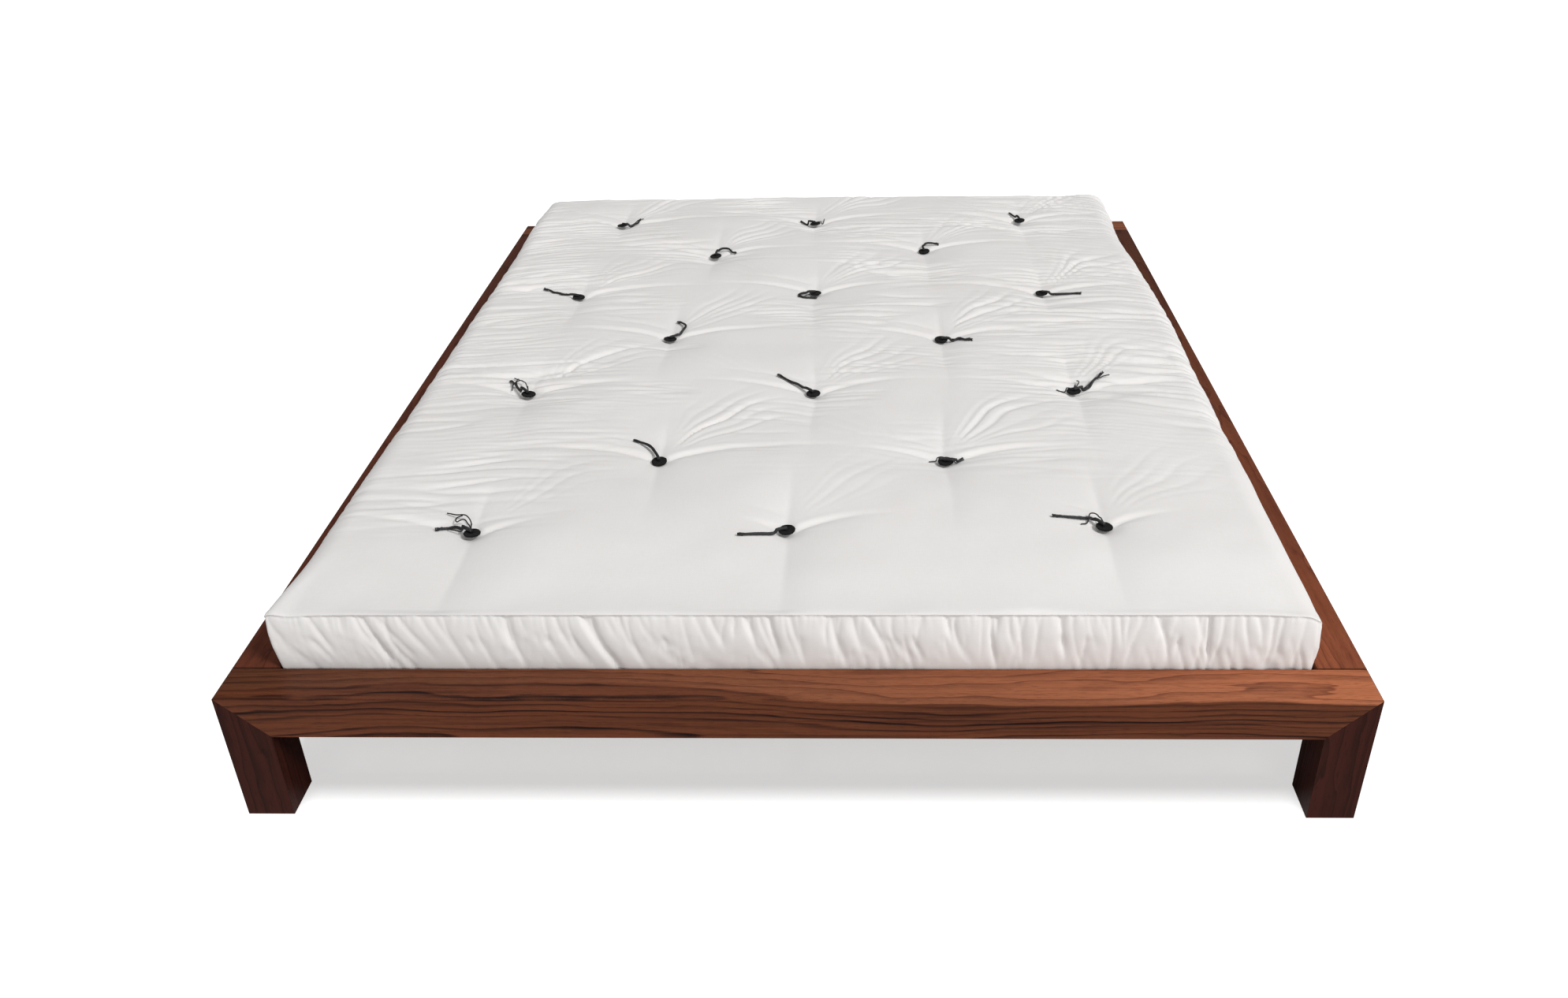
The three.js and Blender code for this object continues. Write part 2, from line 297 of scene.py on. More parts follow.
def pith_distance(tree, place, figure):
    """How far the place lies from the pith, on rings that wander."""
    slow = bend(tree, place, SLOW_BEND, calc(tree, "MULTIPLY", figure, SLOW_BEND_TIMES))
    fine = bend(tree, place, FINE_BEND, FINE_BEND_DEPTH)
    bent = vector_calc(tree, "ADD", vector_calc(tree, "ADD", place, slow), fine)
    parts = add_node(tree, "ShaderNodeSeparateXYZ", {"Vector": bent}).outputs
    square = calc(tree, "ADD", calc(tree, "MULTIPLY", parts["Y"], parts["Y"]),
                  calc(tree, "MULTIPLY", parts["Z"], parts["Z"]))
    return calc(tree, "SQRT", square)


def wood_depth(tree, place, rings, phase, streak):
    """How dark the wood is, 0 to 1: late wood, rings that differ, fibre streaks and stains."""
    own = add_node(tree, "ShaderNodeTexWhiteNoise", {
        "W": calc(tree, "FLOOR", rings)}, noise_dimensions="1D").outputs["Value"]
    depth = calc(tree, "MULTIPLY", ramp(tree, phase, LATE_WOOD), line(tree, own, 0.65, 0.30))
    depth = line(tree, streak, 2.2, depth)
    stain = noise_value(tree, place, STAIN, 3.0, 0.6)
    return calc(tree, "ADD", depth, line(tree, stain, 1.7, -0.75), clamp=True)


def outer_wood(tree, given, place, depth, phase):
    """The wood outside the heart, with a thin contour at the edge of each ring, and painted light that
    makes it paler along the grain's axis.
    """
    colour = blend_colours(tree, calc(tree, "MULTIPLY", depth, OUTER_CONTRAST),
                           given["Outer Early"], given["Outer Late"])
    colour = blend_colours(tree, ramp(tree, phase, CONTOUR), colour, given["Outer Late"])
    at_x = add_node(tree, "ShaderNodeSeparateXYZ", {"Vector": place}).outputs["X"]
    painted_light = calc(tree, "POWER", 2.0, calc(tree, "MULTIPLY", at_x, given["Painted Light Along"]))
    return vector_calc(tree, "MULTIPLY", colour, on_all_axes(tree, painted_light))


def grain_group():
    """Growth rings about the x axis, with fibre streaks and pores along it. Metres."""
    tree, given, out = new_group("timber_grain", [
        ("Vector", "NodeSocketVector", None),
        ("Early Wood", "NodeSocketColor", (0.15, 0.05, 0.03, 1)),
        ("Late Wood", "NodeSocketColor", (0.04, 0.01, 0.01, 1)),
        ("Outer Early", "NodeSocketColor", (0.3, 0.13, 0.07, 1)),
        ("Outer Late", "NodeSocketColor", (0.1, 0.04, 0.025, 1)),
        ("Heart Radius", "NodeSocketFloat", 0.09),
        ("Painted Light Along", "NodeSocketFloat", 0.0),
        ("Ring Width", "NodeSocketFloat", 0.006),
        ("Figure", "NodeSocketFloat", 0.012),
        ("Streaks", "NodeSocketFloat", 0.5),
        ("Pores", "NodeSocketFloat", 0.5),
    ], [("Colour", "NodeSocketColor"), ("Roughness", "NodeSocketFloat"), ("Height", "NodeSocketFloat")])
    place = given["Vector"]
    radius = pith_distance(tree, place, given["Figure"])
    uneven = noise_value(tree, place, RING_EDGE)
    rings = line(tree, uneven, 1.1, calc(tree, "DIVIDE", radius, given["Ring Width"]))
    phase = calc(tree, "FRACT", rings)
    fibre = noise_value(tree, place, FIBRE, 4.0, 0.6)
    streak = calc(tree, "MULTIPLY", calc(tree, "SUBTRACT", fibre, 0.5), given["Streaks"])
    depth = wood_depth(tree, place, rings, phase, streak)
    pore = ramp(tree, noise_value(tree, place, VESSEL, 1.0), OPEN_PORES)
    pore = calc(tree, "MULTIPLY", pore, given["Pores"])
    heart = blend_colours(tree, depth, given["Early Wood"], given["Late Wood"])
    outer = outer_wood(tree, given, place, depth, phase)
    past_heart = calc(tree, "SUBTRACT", radius, given["Heart Radius"])
    past_heart = calc(tree, "DIVIDE", past_heart, HEART_EDGE, clamp=True)
    pore_colour = vector_calc(tree, "MULTIPLY", given["Late Wood"], (0.45, 0.42, 0.42))
    colour = blend_colours(tree, pore, blend_colours(tree, past_heart, heart, outer), pore_colour)
    tree.links.new(colour, out["Colour"])
    tree.links.new(line(tree, pore, 0.25, line(tree, streak, 0.35, 0.36)), out["Roughness"])
    tree.links.new(calc(tree, "SUBTRACT", calc(tree, "MULTIPLY", streak, 0.4), pore), out["Height"])
    return tree


def joint_shade_group():
    """Painted shade: a dark line in the last millimetres before each of two ends along y, standing in for
    the shadow in a joint's gap. Metres.
    """
    tree, given, out = new_group("painted_joint_shade", [
        ("Vector", "NodeSocketVector", None),
        ("Unshaded", "NodeSocketColor", (0.15, 0.05, 0.03, 1)),
        ("Painted Shade", "NodeSocketColor", (0.010, 0.004, 0.003, 1)),
        ("Middle", "NodeSocketFloat", 0.0),
        ("Half Length", "NodeSocketFloat", 1.0),
        ("Width", "NodeSocketFloat", 4.5 * MM),
    ], [("Colour", "NodeSocketColor")])
    y = add_node(tree, "ShaderNodeSeparateXYZ", {"Vector": given["Vector"]}).outputs["Y"]
    from_middle = calc(tree, "ABSOLUTE", calc(tree, "SUBTRACT", y, given["Middle"]))
    inside = calc(tree, "SUBTRACT", given["Half Length"], from_middle)
    unshaded = calc(tree, "DIVIDE", inside, given["Width"], clamp=True)
    tree.links.new(blend_colours(tree, unshaded, given["Painted Shade"], given["Unshaded"]), out["Colour"])
    return tree


GRAIN = grain_group()
JOINT_SHADE = joint_shade_group()

GRAIN_TURNS = {"x": (0.0, 0.0, 0.0), "y": (0.0, 0.0, -math.pi / 2), "z": (0.0, math.pi / 2, 0.0)}


def timber(name, along, pith, tones, ring_width=0.006, figure=0.012, streaks=0.5, pores=0.5,
           heart_radius=0.09, painted_light_along=0.0, gloss=1.0, joints=None):
    """A timber finish. along is the grain's axis, pith a point that the rings are round, and tones are
    the early and late wood of the heart and of the wood outside it. joints are the two ends in y that
    meet another timber, where painted shade darkens the joint as the shadow in its gap would."""
    material, tree, shader, place = new_material(name, Specular_IOR_Level=0.08)
    from_pith = vector_calc(tree, "SUBTRACT", place, pith)
    turned = add_node(tree, "ShaderNodeMapping", {
        "Vector": from_pith, "Rotation": GRAIN_TURNS[along]}).outputs[0]
    grain = use_group(tree, GRAIN, turned)
    for label, tone in zip(("Early Wood", "Late Wood", "Outer Early", "Outer Late"), tones):
        grain.inputs[label].default_value = (*tone, 1)
    for label, value in (("Ring Width", ring_width), ("Figure", figure), ("Streaks", streaks),
                         ("Pores", pores), ("Heart Radius", heart_radius), ("Painted Light Along", painted_light_along)):
        grain.inputs[label].default_value = value
    colour = grain.outputs["Colour"]
    # Painted shade at the rail's two ends, standing in for the shadow in the joints' gaps.
    if joints:
        joint_shade = use_group(tree, JOINT_SHADE, place)
        tree.links.new(colour, joint_shade.inputs["Unshaded"])
        joint_shade.inputs["Middle"].default_value = (joints[0] + joints[1]) / 2
        joint_shade.inputs["Half Length"].default_value = (joints[1] - joints[0]) / 2
        colour = joint_shade.outputs["Colour"]
    tree.links.new(colour, shader.inputs["Base Color"])
    tree.links.new(calc(tree, "MULTIPLY", grain.outputs["Roughness"], gloss), shader.inputs["Roughness"])
    bump_from(tree, shader, grain.outputs["Height"], 0.25, 0.4 * MM)
    return material



# ---------------------------------------------------------------- timber frame

def finish_piece(node, material, arris):
    """The node's finish, with its sharp edges eased by arris metres."""
    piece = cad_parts[node]
    piece.data.materials.clear()
    piece.data.materials.append(material)
    ease = piece.modifiers.new("eased_edges", "BEVEL")
    ease.width = arris
    ease.segments = 2
    ease.limit_method = "ANGLE"
    ease.angle_limit = math.radians(35)


RAIL_ARRIS = 0.7 * MM
# Heartwood, and paler outer wood. The piths lie so that the rails' fronts show heartwood and their tops
# show outer wood: partly the walnut's own tone, partly painted light that makes the tops paler than the
# fronts.
HEARTWOOD = ((0.132, 0.039, 0.017), (0.010, 0.0028, 0.0025))
RAIL_TOPS = HEARTWOOD + ((0.225, 0.076, 0.035), (0.056, 0.015, 0.008))
LEG_WOOD = ((0.040, 0.008, 0.005), (0.008, 0.002, 0.0018), (0.045, 0.010, 0.006), (0.011, 0.003, 0.002))
# Lit and shaded copies of the side rails' walnut: painted shade makes the left rail darker and painted
# light makes the right rail paler, as the light falls from the right.
LEFT_SIDE_SHADED = ((0.080, 0.022, 0.012), (0.023, 0.006, 0.005), (0.104, 0.029, 0.015), (0.034, 0.009, 0.006))
RIGHT_SIDE_LIT = ((0.130, 0.036, 0.017), (0.038, 0.010, 0.006), (0.145, 0.043, 0.020), (0.044, 0.011, 0.0065))


def middle_of(node):
    low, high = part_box(node)
    return (low + high) / 2


def finish_frame():
    foot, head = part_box("foot_rail"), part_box("head_rail")
    # painted_light_along paints a light gradient along each rail, paler towards one end.
    finish_piece("foot_rail", timber(
        "walnut_foot_rail", "x", (0.0, foot[0].y - 0.020, foot[0].z - 0.035), RAIL_TOPS,
        ring_width=0.012, figure=0.026, streaks=0.75, heart_radius=0.110, painted_light_along=1.2), RAIL_ARRIS)
    finish_piece("head_rail", timber(
        "walnut_head_rail", "x", (0.0, head[1].y + 0.020, head[0].z - 0.035), RAIL_TOPS,
        ring_width=0.008, figure=0.016, heart_radius=0.106, painted_light_along=0.3), RAIL_ARRIS)
    for end in ("foot", "head"):
        for hand, side in (("left", -1), ("right", 1)):
            middle = middle_of(f"{end}_leg_{hand}")
            finish_piece(f"{end}_leg_{hand}", timber(
                f"walnut_{end}_leg_{hand}", "z", (middle.x - side * 0.05, middle.y + 0.07, 0.1), LEG_WOOD,
                ring_width=0.008, figure=0.010, streaks=0.8), RAIL_ARRIS)
    for hand, side in (("left", -1), ("right", 1)):
        low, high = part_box(f"side_rail_{hand}")
        finish_piece(f"side_rail_{hand}", timber(
            f"walnut_side_rail_{hand}", "y", ((low.x + high.x) / 2 + side * 0.02, 0.0, foot[1].z - 0.13),
            RIGHT_SIDE_LIT if side > 0 else LEFT_SIDE_SHADED, figure=0.010, heart_radius=0.12,
            painted_light_along=-0.9 if side > 0 else -0.4, joints=(low.y, high.y)), 1.0 * MM)


SLATS = [f"slat_{i:02d}" for i in range(1, 14)]
PINE = ((0.62, 0.43, 0.235), (0.44, 0.25, 0.10)) * 2


def finish_base():
    for i, node in enumerate(SLATS):
        low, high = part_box(node)
        pith = (0.7 * math.sin(i), (low.y + high.y) / 2 + 0.05 * math.sin(2.3 * i), low.z - 0.05)
        finish_piece(node, timber(f"pine_{node}", "x", pith, PINE, ring_width=0.005, figure=0.008,
                                  streaks=0.2, pores=0.1, gloss=1.4), 1.5 * MM)
    for node, along in (("slat_ledge_left", "y"), ("slat_ledge_right", "y"), ("centre_beam", "y"),
                        ("centre_leg", "z")):
        pith = middle_of(node) + Vector((0.03, 0.02, -0.04))
        finish_piece(node, timber(f"pine_{node}", along, pith, PINE, ring_width=0.004,
                                  streaks=0.2, pores=0.1, gloss=1.4), 1.2 * MM)
    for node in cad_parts:
        if node.startswith("mitre_tongue"):
            finish_piece(node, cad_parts["centre_leg"].data.materials[0], 0.5 * MM)


finish_frame()
finish_base()


def zinc_plate():
    """Zinc-plated steel with a fine rolled grain and a little mottling."""
    material, tree, shader, place = new_material("zinc_plated_steel", Metallic=1.0)
    mottle = noise_value(tree, place, 90.0, 4.0, 0.6)
    rolled = noise_value(tree, place, (40.0, 900.0, 900.0))
    colour = ramp(tree, mottle, [(0.3, (0.42, 0.43, 0.44)), (0.7, (0.62, 0.62, 0.60))])
    tree.links.new(colour, shader.inputs["Base Color"])
    tree.links.new(line(tree, rolled, 0.25, 0.28), shader.inputs["Roughness"])
    bump_from(tree, shader, rolled, 0.1, 0.2 * MM)
    return material


STEEL = zinc_plate()

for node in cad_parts:
    if node.startswith(("hook_plate", "strike_plate", "beam_hanger")):
        finish_piece(node, STEEL, 0.3 * MM)


# ---------------------------------------------------------------- futon

# Noise scales of the thick places in the thread, per metre, for the two ways of the weave.
SLUBS = ((60.0, 900.0, 900.0), (900.0, 60.0, 300.0))


def weave_group():
    """A plain weave that follows the surface's three axes, with slubs. Outputs a height and a tone."""
    tree, given, out = new_group("plain_weave", [
        ("Vector", "NodeSocketVector", None), ("Threads per Metre", "NodeSocketFloat", 900.0),
    ], [("Height", "NodeSocketFloat"), ("Tone", "NodeSocketFloat")])
    turns = calc(tree, "MULTIPLY", given["Threads per Metre"], 2 * math.pi)
    parts = add_node(tree, "ShaderNodeSeparateXYZ", {"Vector": given["Vector"]}).outputs
    waves = [calc(tree, "SINE", calc(tree, "MULTIPLY", parts[axis], turns)) for axis in "XYZ"]
    height = calc(tree, "ADD", calc(tree, "ADD", waves[0], waves[1]), waves[2])
    slubs = [noise_value(tree, given["Vector"], scale, 1.0) for scale in SLUBS]
    tone = calc(tree, "ADD", *slubs)
    tree.links.new(line(tree, height, 0.2, tone), out["Height"])
    tree.links.new(calc(tree, "SUBTRACT", tone, 1.0), out["Tone"])
    return tree


WEAVE = weave_group()


def cotton():
    material, tree, shader, place = new_material(
        "natural_cotton", Sheen_Weight=0.10, Sheen_Roughness=0.6, Specular_IOR_Level=0.10)
    weave = use_group(tree, WEAVE, place).outputs
    cloud = noise_value(tree, place, 5.0, 4.0, 0.55)
    colour = ramp(tree, cloud, [(0.25, (0.768, 0.747, 0.730)), (0.75, (0.797, 0.782, 0.768))])
    shade = on_all_axes(tree, line(tree, weave["Tone"], 0.05, 1.0))
    tree.links.new(vector_calc(tree, "MULTIPLY", colour, shade), shader.inputs["Base Color"])
    tree.links.new(line(tree, cloud, 0.12, 0.82), shader.inputs["Roughness"])
    crush = noise_value(tree, place, 130.0, 4.0, 0.65)
    bump_from(tree, shader, line(tree, weave["Height"], 0.15, crush), 0.14, 0.4 * MM)
    return material


COTTON = cotton()

PAD_LOW, PAD_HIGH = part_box("futon_mattress")
TUFT_PLACES = [middle_of(f"tuft_disc_{i:02d}") for i in range(1, 19)]
DISC_LOW, DISC_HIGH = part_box("tuft_disc_01")
DISC_RADIUS = (DISC_HIGH.x - DISC_LOW.x) / 2

HALF_X = 0.802                       # widest part of the pad, above the rails
HALF_Y = PAD_HIGH.y
BASE_Z = PAD_LOW.z
SEAM_Z = 0.3335                      # border seam at the foot end
TOP_Z = 0.3485                       # flat of the top near its edges
SIDE_ROLL = 0.052                    # radius that the sides roll over with
FOOT_ROLL, HEAD_ROLL = 0.001, 0.030  # the same at the two ends
LEFT_CORNER, RIGHT_CORNER = (0.018, 0.018), (0.034, 0.044)     # plan radius and roll at the foot end
HEAD_CORNER = 0.066                  # plan radius at the head end
CELLS_X, CELLS_Y = 340, 480          # cells across and along the top
UNDER_STEP = 4                       # the underside's cells are this many times wider
UNDER_INSET = (0.032, 0.024)         # from the top's grid to the underside's
UNDER_DIMPLE = (0.009, 0.045)        # depth and width of the tufts' pull on the underside
SEAM_STEP = 0.0007                   # the border strip starts this far in from the top's edge
SEAM_HOLD = 0.014                    # the seam holds the top flat this far in
HEM_ROLL = 0.008
CROWN = 0.0045                       # the middle of the top stands this much above its edges
# How far out the border strip stands, from its hem up to its seam: heights and half widths.
BORDER_LEVELS = (0.2153, 0.2250, 0.2370, 0.2500, 0.2700, 0.2965, 0.3340)
SIDE_STANDS = (0.7850, 0.7930, 0.7960, 0.8010, 0.8045, 0.8020, 0.8020)
END_STANDS = (0.9870, 0.9950, 0.9982, 0.9990, 0.9990, 0.9978, 0.9940)
BORDER_RINGS = (0.022, 0.05, 0.10, 0.16, 0.22, 0.28, 0.34, 0.40, 0.47, 0.54, 0.61, 0.68, 0.75, 0.83,
                0.91, 1.0)


def rolled(distance, radius):
    """How far in and how far down the cover is, that far along it from the border."""
    angle = np.minimum(distance / radius, np.pi / 2)
    inset = radius * (1 - np.cos(angle)) + np.maximum(distance - radius * np.pi / 2, 0)
    return inset, radius * (1 - np.sin(angle))


def top_rolls(left, foot, from_foot):
    """The radius that the side rolls over with, the end's and the corner's plan radius."""
    corner_roll = np.where(left, LEFT_CORNER[1], RIGHT_CORNER[1])
    side_roll = corner_roll + (SIDE_ROLL - corner_roll) * smoothstep(0.0, 0.17, from_foot)
    end_roll = np.where(foot, FOOT_ROLL, HEAD_ROLL)
    arc = np.where(foot, np.where(left, LEFT_CORNER[0], RIGHT_CORNER[0]), HEAD_CORNER)
    return side_roll, end_roll, arc


def cover_top():
    """Plan place, drop and outward direction of each crossing of the top's grid."""
    spare_foot, spare_head = FOOT_ROLL * (np.pi / 2 - 1), HEAD_ROLL * (np.pi / 2 - 1)
    whole_y = 2 * HALF_Y + spare_foot + spare_head
    columns, rows = np.linspace(-1, 1, CELLS_X + 1), np.linspace(0, whole_y, CELLS_Y + 1)
    a, b = np.meshgrid(columns, rows, indexing="ij")
    side = np.where(a < 0, -1.0, 1.0)
    foot = b < HALF_Y + spare_foot
    end = np.where(foot, -1.0, 1.0)
    side_roll, end_roll, arc = top_rolls(a < 0, foot, b)
    from_side = (HALF_X + side_roll * (np.pi / 2 - 1)) * (1 - np.abs(a))
    from_end = np.where(foot, b, whole_y - b)
    in_x, drop_x = rolled(from_side, side_roll)
    in_y, drop_y = rolled(from_end, end_roll)
    u, v = arc - from_side, arc - from_end
    corner = (u > 0) & (v > 0)
    inner = np.maximum(arc - np.maximum(u, v), 0)
    angle = np.arctan2(np.maximum(v, 0), np.maximum(u, 1e-9))
    cos, sin = np.cos(angle), np.sin(angle)
    arc_in_x, arc_drop_x = rolled(arc, side_roll)
    arc_in_y, arc_drop_y = rolled(arc, end_roll)
    new_in_x, new_drop_x = rolled(inner, side_roll)
    new_in_y, new_drop_y = rolled(inner, end_roll)
    x = np.where(corner, HALF_X - arc_in_x + (arc_in_x - new_in_x) * cos, HALF_X - in_x)
    y = np.where(corner, HALF_Y - arc_in_y + (arc_in_y - new_in_y) * sin, HALF_Y - in_y)
    drop = np.where(corner, arc_drop_x + arc_drop_y + (new_drop_x - arc_drop_x) * cos ** 2
                    + (new_drop_y - arc_drop_y) * sin ** 2, drop_x + drop_y)
    beside = from_side < from_end
    out_x = np.where(corner, cos, np.where(beside, 1.0, 0.0))
    out_y = np.where(corner, sin, np.where(beside, 0.0, 1.0))
    return x * side, y * end, drop, out_x * side, out_y * end


def border_walk():
    """Grid indices round the border of the top, anticlockwise from the left foot corner."""
    walk = [(i, 0) for i in range(CELLS_X)]
    walk += [(CELLS_X, j) for j in range(CELLS_Y)]
    walk += [(i, CELLS_Y) for i in range(CELLS_X, 0, -1)]
    walk += [(0, j) for j in range(CELLS_Y, 0, -1)]
    return walk


class Cover:
    """Points and faces of the futon's cover, with what each point belongs to."""

    def __init__(self):
        self.points, self.faces = [], []
        self.down, self.way, self.along = [], [], []
        self.count = 0

    def add(self, points, down, way, along):
        """down is -1 on the top, 0 to 1 down the border strip and 2 underneath."""
        first = self.count
        self.points.append(points)
        self.down.append(np.full(len(points), down))
        self.way.append(way)
        self.along.append(along)
        self.count += len(points)
        return first + np.arange(len(points))

    def band(self, upper, lower):
        """Faces between two rings of points, one below the other."""
        self.faces += zip(upper, lower, np.roll(lower, -1), np.roll(upper, -1))


def sew_top(cover):
    """The top's grid, crowned in the middle and falling a little towards its foot end and back left."""
    x, y, drop, out_x, out_y = cover_top()
    in_x, in_y, from_foot = HALF_X - np.abs(x), HALF_Y - np.abs(y), y + HALF_Y
    crown = CROWN * smoothstep(0.0, 0.35, np.minimum(in_x, in_y))
    foot_fall = (TOP_Z - FOOT_ROLL - SEAM_Z) * swell(from_foot, 0.13)
    corner_fall = 0.006 * swell(in_x, 0.06) * swell(from_foot, 0.10)
    back_fall = 0.005 * smoothstep(0.4, 1.0, y) * smoothstep(0.1, 0.8, -x)
    z = TOP_Z + crown - drop - foot_fall * (0.6 * smoothstep(0.0, 0.05, in_x) + 0.4)
    z -= corner_fall + back_fall
    cover.add(np.stack([x.ravel(), y.ravel(), z.ravel()], 1), -1.0,
              np.stack([out_x.ravel(), out_y.ravel()], 1), np.zeros(x.size))
    rows = CELLS_Y + 1
    for i in range(CELLS_X):
        start = np.arange(i * rows, i * rows + CELLS_Y)
        cover.faces += zip(start, start + rows, start + rows + 1, start + 1)
    return x, y


def two_to_each(values):
    """The values with the mean of each two neighbours put between them, all the way round."""
    doubled = np.repeat(values, 2, 0)
    doubled[1::2] = (values + np.roll(values, -1, 0)) / 2
    return doubled


def join_rim(cover, rim, ring):
    """Joins the top's rim to the strip's first ring, which has two points to each of the rim's."""
    even, odd, ahead = ring[::2], ring[1::2], np.roll(rim, -1)
    cover.faces += zip(rim, even, odd)
    cover.faces += zip(rim, odd, ahead)
    cover.faces += zip(ahead, odd, np.roll(even, -1))


def sew_border(cover, walk):
    """The border strip has two columns to each cell of the top."""
    rim_index = np.array([i * (CELLS_Y + 1) + j for i, j in walk])
    rim, way = two_to_each(cover.points[0][rim_index]), two_to_each(cover.way[0][rim_index])
    way /= np.linalg.norm(way, axis=1)[:, None]
    steps = np.linalg.norm(np.diff(rim, axis=0, append=rim[:1]), axis=1)
    along = np.concatenate([[0], np.cumsum(steps)[:-1]])
    share = way ** 2
    previous = None
    for t in BORDER_RINGS:
        level = rim[:, 2] + (BASE_Z + HEM_ROLL - rim[:, 2]) * t
        stand_x = np.interp(level, BORDER_LEVELS, SIDE_STANDS) - HALF_X
        stand_y = np.interp(level, BORDER_LEVELS, END_STANDS) - HALF_Y
        stand = stand_x * share[:, 0] + stand_y * share[:, 1]
        if previous is None:
            stand = stand - SEAM_STEP
        ring = cover.add(np.column_stack([rim[:, :2] + way * stand[:, None], level]), t, way, along)
        if previous is None:
            join_rim(cover, rim_index, ring)
        else:
            cover.band(previous, ring)
        previous = ring
    hem = cover.points[-1][:, :2] - way * HEM_ROLL
    ring = cover.add(np.column_stack([hem, np.full(len(hem), BASE_Z)]), 1.0, way, along)
    cover.band(previous, ring)
    return ring


def sew_underside(cover, x, y, walk, hem):
    """A coarser grid under the pad, joined to the fine hem by fans of triangles."""
    px = (x * (1 - UNDER_INSET[0] / HALF_X))[::UNDER_STEP, ::UNDER_STEP]
    py = (y * (1 - UNDER_INSET[1] / HALF_Y))[::UNDER_STEP, ::UNDER_STEP]
    pz = np.full(px.shape, BASE_Z)
    depth, width = UNDER_DIMPLE
    for place in TUFT_PLACES:
        pz += depth * swell(np.hypot(px - place.x, py - place.y), width)
    index = cover.add(np.stack([px.ravel(), py.ravel(), pz.ravel()], 1), 2.0,
                      np.zeros((px.size, 2)), np.zeros(px.size)).reshape(px.shape)
    cover.faces += zip(index[:-1, :-1].ravel(), index[:-1, 1:].ravel(), index[1:, 1:].ravel(),
                       index[1:, :-1].ravel())
    coarse = [index[i // UNDER_STEP, j // UNDER_STEP]
              for i, j in walk if i % UNDER_STEP == 0 and j % UNDER_STEP == 0]
    fine = list(hem) + [hem[0]]
    fan = 2 * UNDER_STEP
    for k, here in enumerate(coarse):
        after = coarse[(k + 1) % len(coarse)]
        edge = fine[fan * k:fan * (k + 1) + 1]
        cover.faces += [(edge[m], here, edge[m + 1]) for m in range(fan // 2)]
        cover.faces.append((edge[fan // 2], here, after))
        cover.faces += [(edge[m], after, edge[m + 1]) for m in range(fan // 2, fan)]


def valley(value, sharp=2.2):
    """1 in the sharp bottom of a fold, falling to 0 on the broad pillows between folds."""
    return (1.0 - np.clip(np.abs(value), 0.0, 1.0)) ** sharp


def cusp(across, front, back):
    """1 at a crease, dying away over the front and the back distances."""
    return np.where(across < 0, np.exp(across / front), np.exp(-across / back))


ARM_REACH = {1: (1.15, 0.40), 2: (0.30, 0.60), 3: (0.30, 0.42)}      # left and right, in the first row
FIRST_ROW = -0.7                     # the first row of tufts lies before this y
FIRST_ROW_CALM = 0.45 ** 1.6         # and its fans are this much shallower


def dimple(dx, dy):
    """The hollow round a tuft, with a small pit under its disc."""
    r = np.hypot(dx, dy)
    return -0.0060 * swell(r, 0.020) - 0.0062 * swell(r, 0.09)


def upright(dx, dy, n, before, behind):
    """Depth of the crease that runs through tuft n from the foot end towards the head end."""
    sway = 0.006 * noise(dy * 6 + 3.1 * n, dx * 0, 40 + n)
    length = np.where(dy > 0, 0.13 * behind, 0.17 * before)
    soft = np.where(dy > 0, 1.0, 2.2)
    sharp_line = 0.0030 * cusp(dx - sway, 0.009 * soft, 0.013 * soft)
    slopes = 0.0052 * cusp(dx - sway, 0.042, 0.036)
    return swell(dy, length) * (sharp_line + slopes)


def fan_creases(dx, dy, n, start):
    """Depth of the small creases that fan out behind tuft n."""
    r = np.hypot(dx, dy) + 1e-6
    turn = np.arctan2(dy, dx)
    swirl = turn + 0.8 * r + 0.11 * noise(r * 7 + n, turn * 2, 80 + n)
    vary = 0.6 + 0.8 * (noise(swirl * 9, r * 3 + n, 60 + n) + 0.3)
    fan = valley(np.sin(22 * swirl + start), 1.7) * np.clip(vary, 0.1, 1.4)
    ring = smoothstep(0.028, 0.08, r) * (1 - smoothstep(0.18, 0.36, r))
    return 0.0050 * fan * ring * (swell(swirl - 1.10, 0.30) + 0.30 * swell(turn - 2.45, 0.22))


def tuft_pull(x, y):
    """How far the tufts draw the top down and crease it, in metres."""
    height = np.zeros_like(x)
    draw = np.random.default_rng(7)
    for n, place in enumerate(TUFT_PLACES):
        left, right, before, behind, force = draw.uniform(0.75, 1.25, 5)
        start = draw.uniform(0, np.pi)
        if place.y < FIRST_ROW:
            force *= FIRST_ROW_CALM
        left, right = ARM_REACH.get(n + 1, (left, right))
        dx, dy = x - place.x, y - place.y
        near = (np.abs(dx) < 0.55) & (np.abs(dy) < 0.45)
        dx, dy = dx[near], dy[near]
        pull = dimple(dx, dy) + arms(dx, dy, n, left, right)
        pull -= upright(dx, dy, n, before, behind) + force * fan_creases(dx, dy, n, start)
        height[near] += pull
    return height


def arms(dx, dy, n, left, right):
    """The long creases that run sideways out of tuft n and curl towards the head end."""
    sideways = np.abs(dx)
    arm = 0.050 * (1 - np.exp(-sideways / 0.10)) + 0.004 * noise(dx * 8 + 5 * n, dx * 0, n)
    across = dy - arm
    length = np.where(dx < 0, 0.150 * left, 0.175 * right)
    reach = swell(sideways, length) * smoothstep(0.0, 0.025, sideways)
    sharp_line = 0.0050 * cusp(across, 0.0075, 0.0042)
    slopes = 0.0026 * cusp(across, 0.045, 0.014)
    ridge_behind = 0.0012 * swell(across - 0.012, 0.006)
    second = 0.0030 * (dx < 0) * cusp(across - 0.040 - 0.05 * sideways, 0.006, 0.006)
    return reach * (ridge_behind - sharp_line - slopes - second)


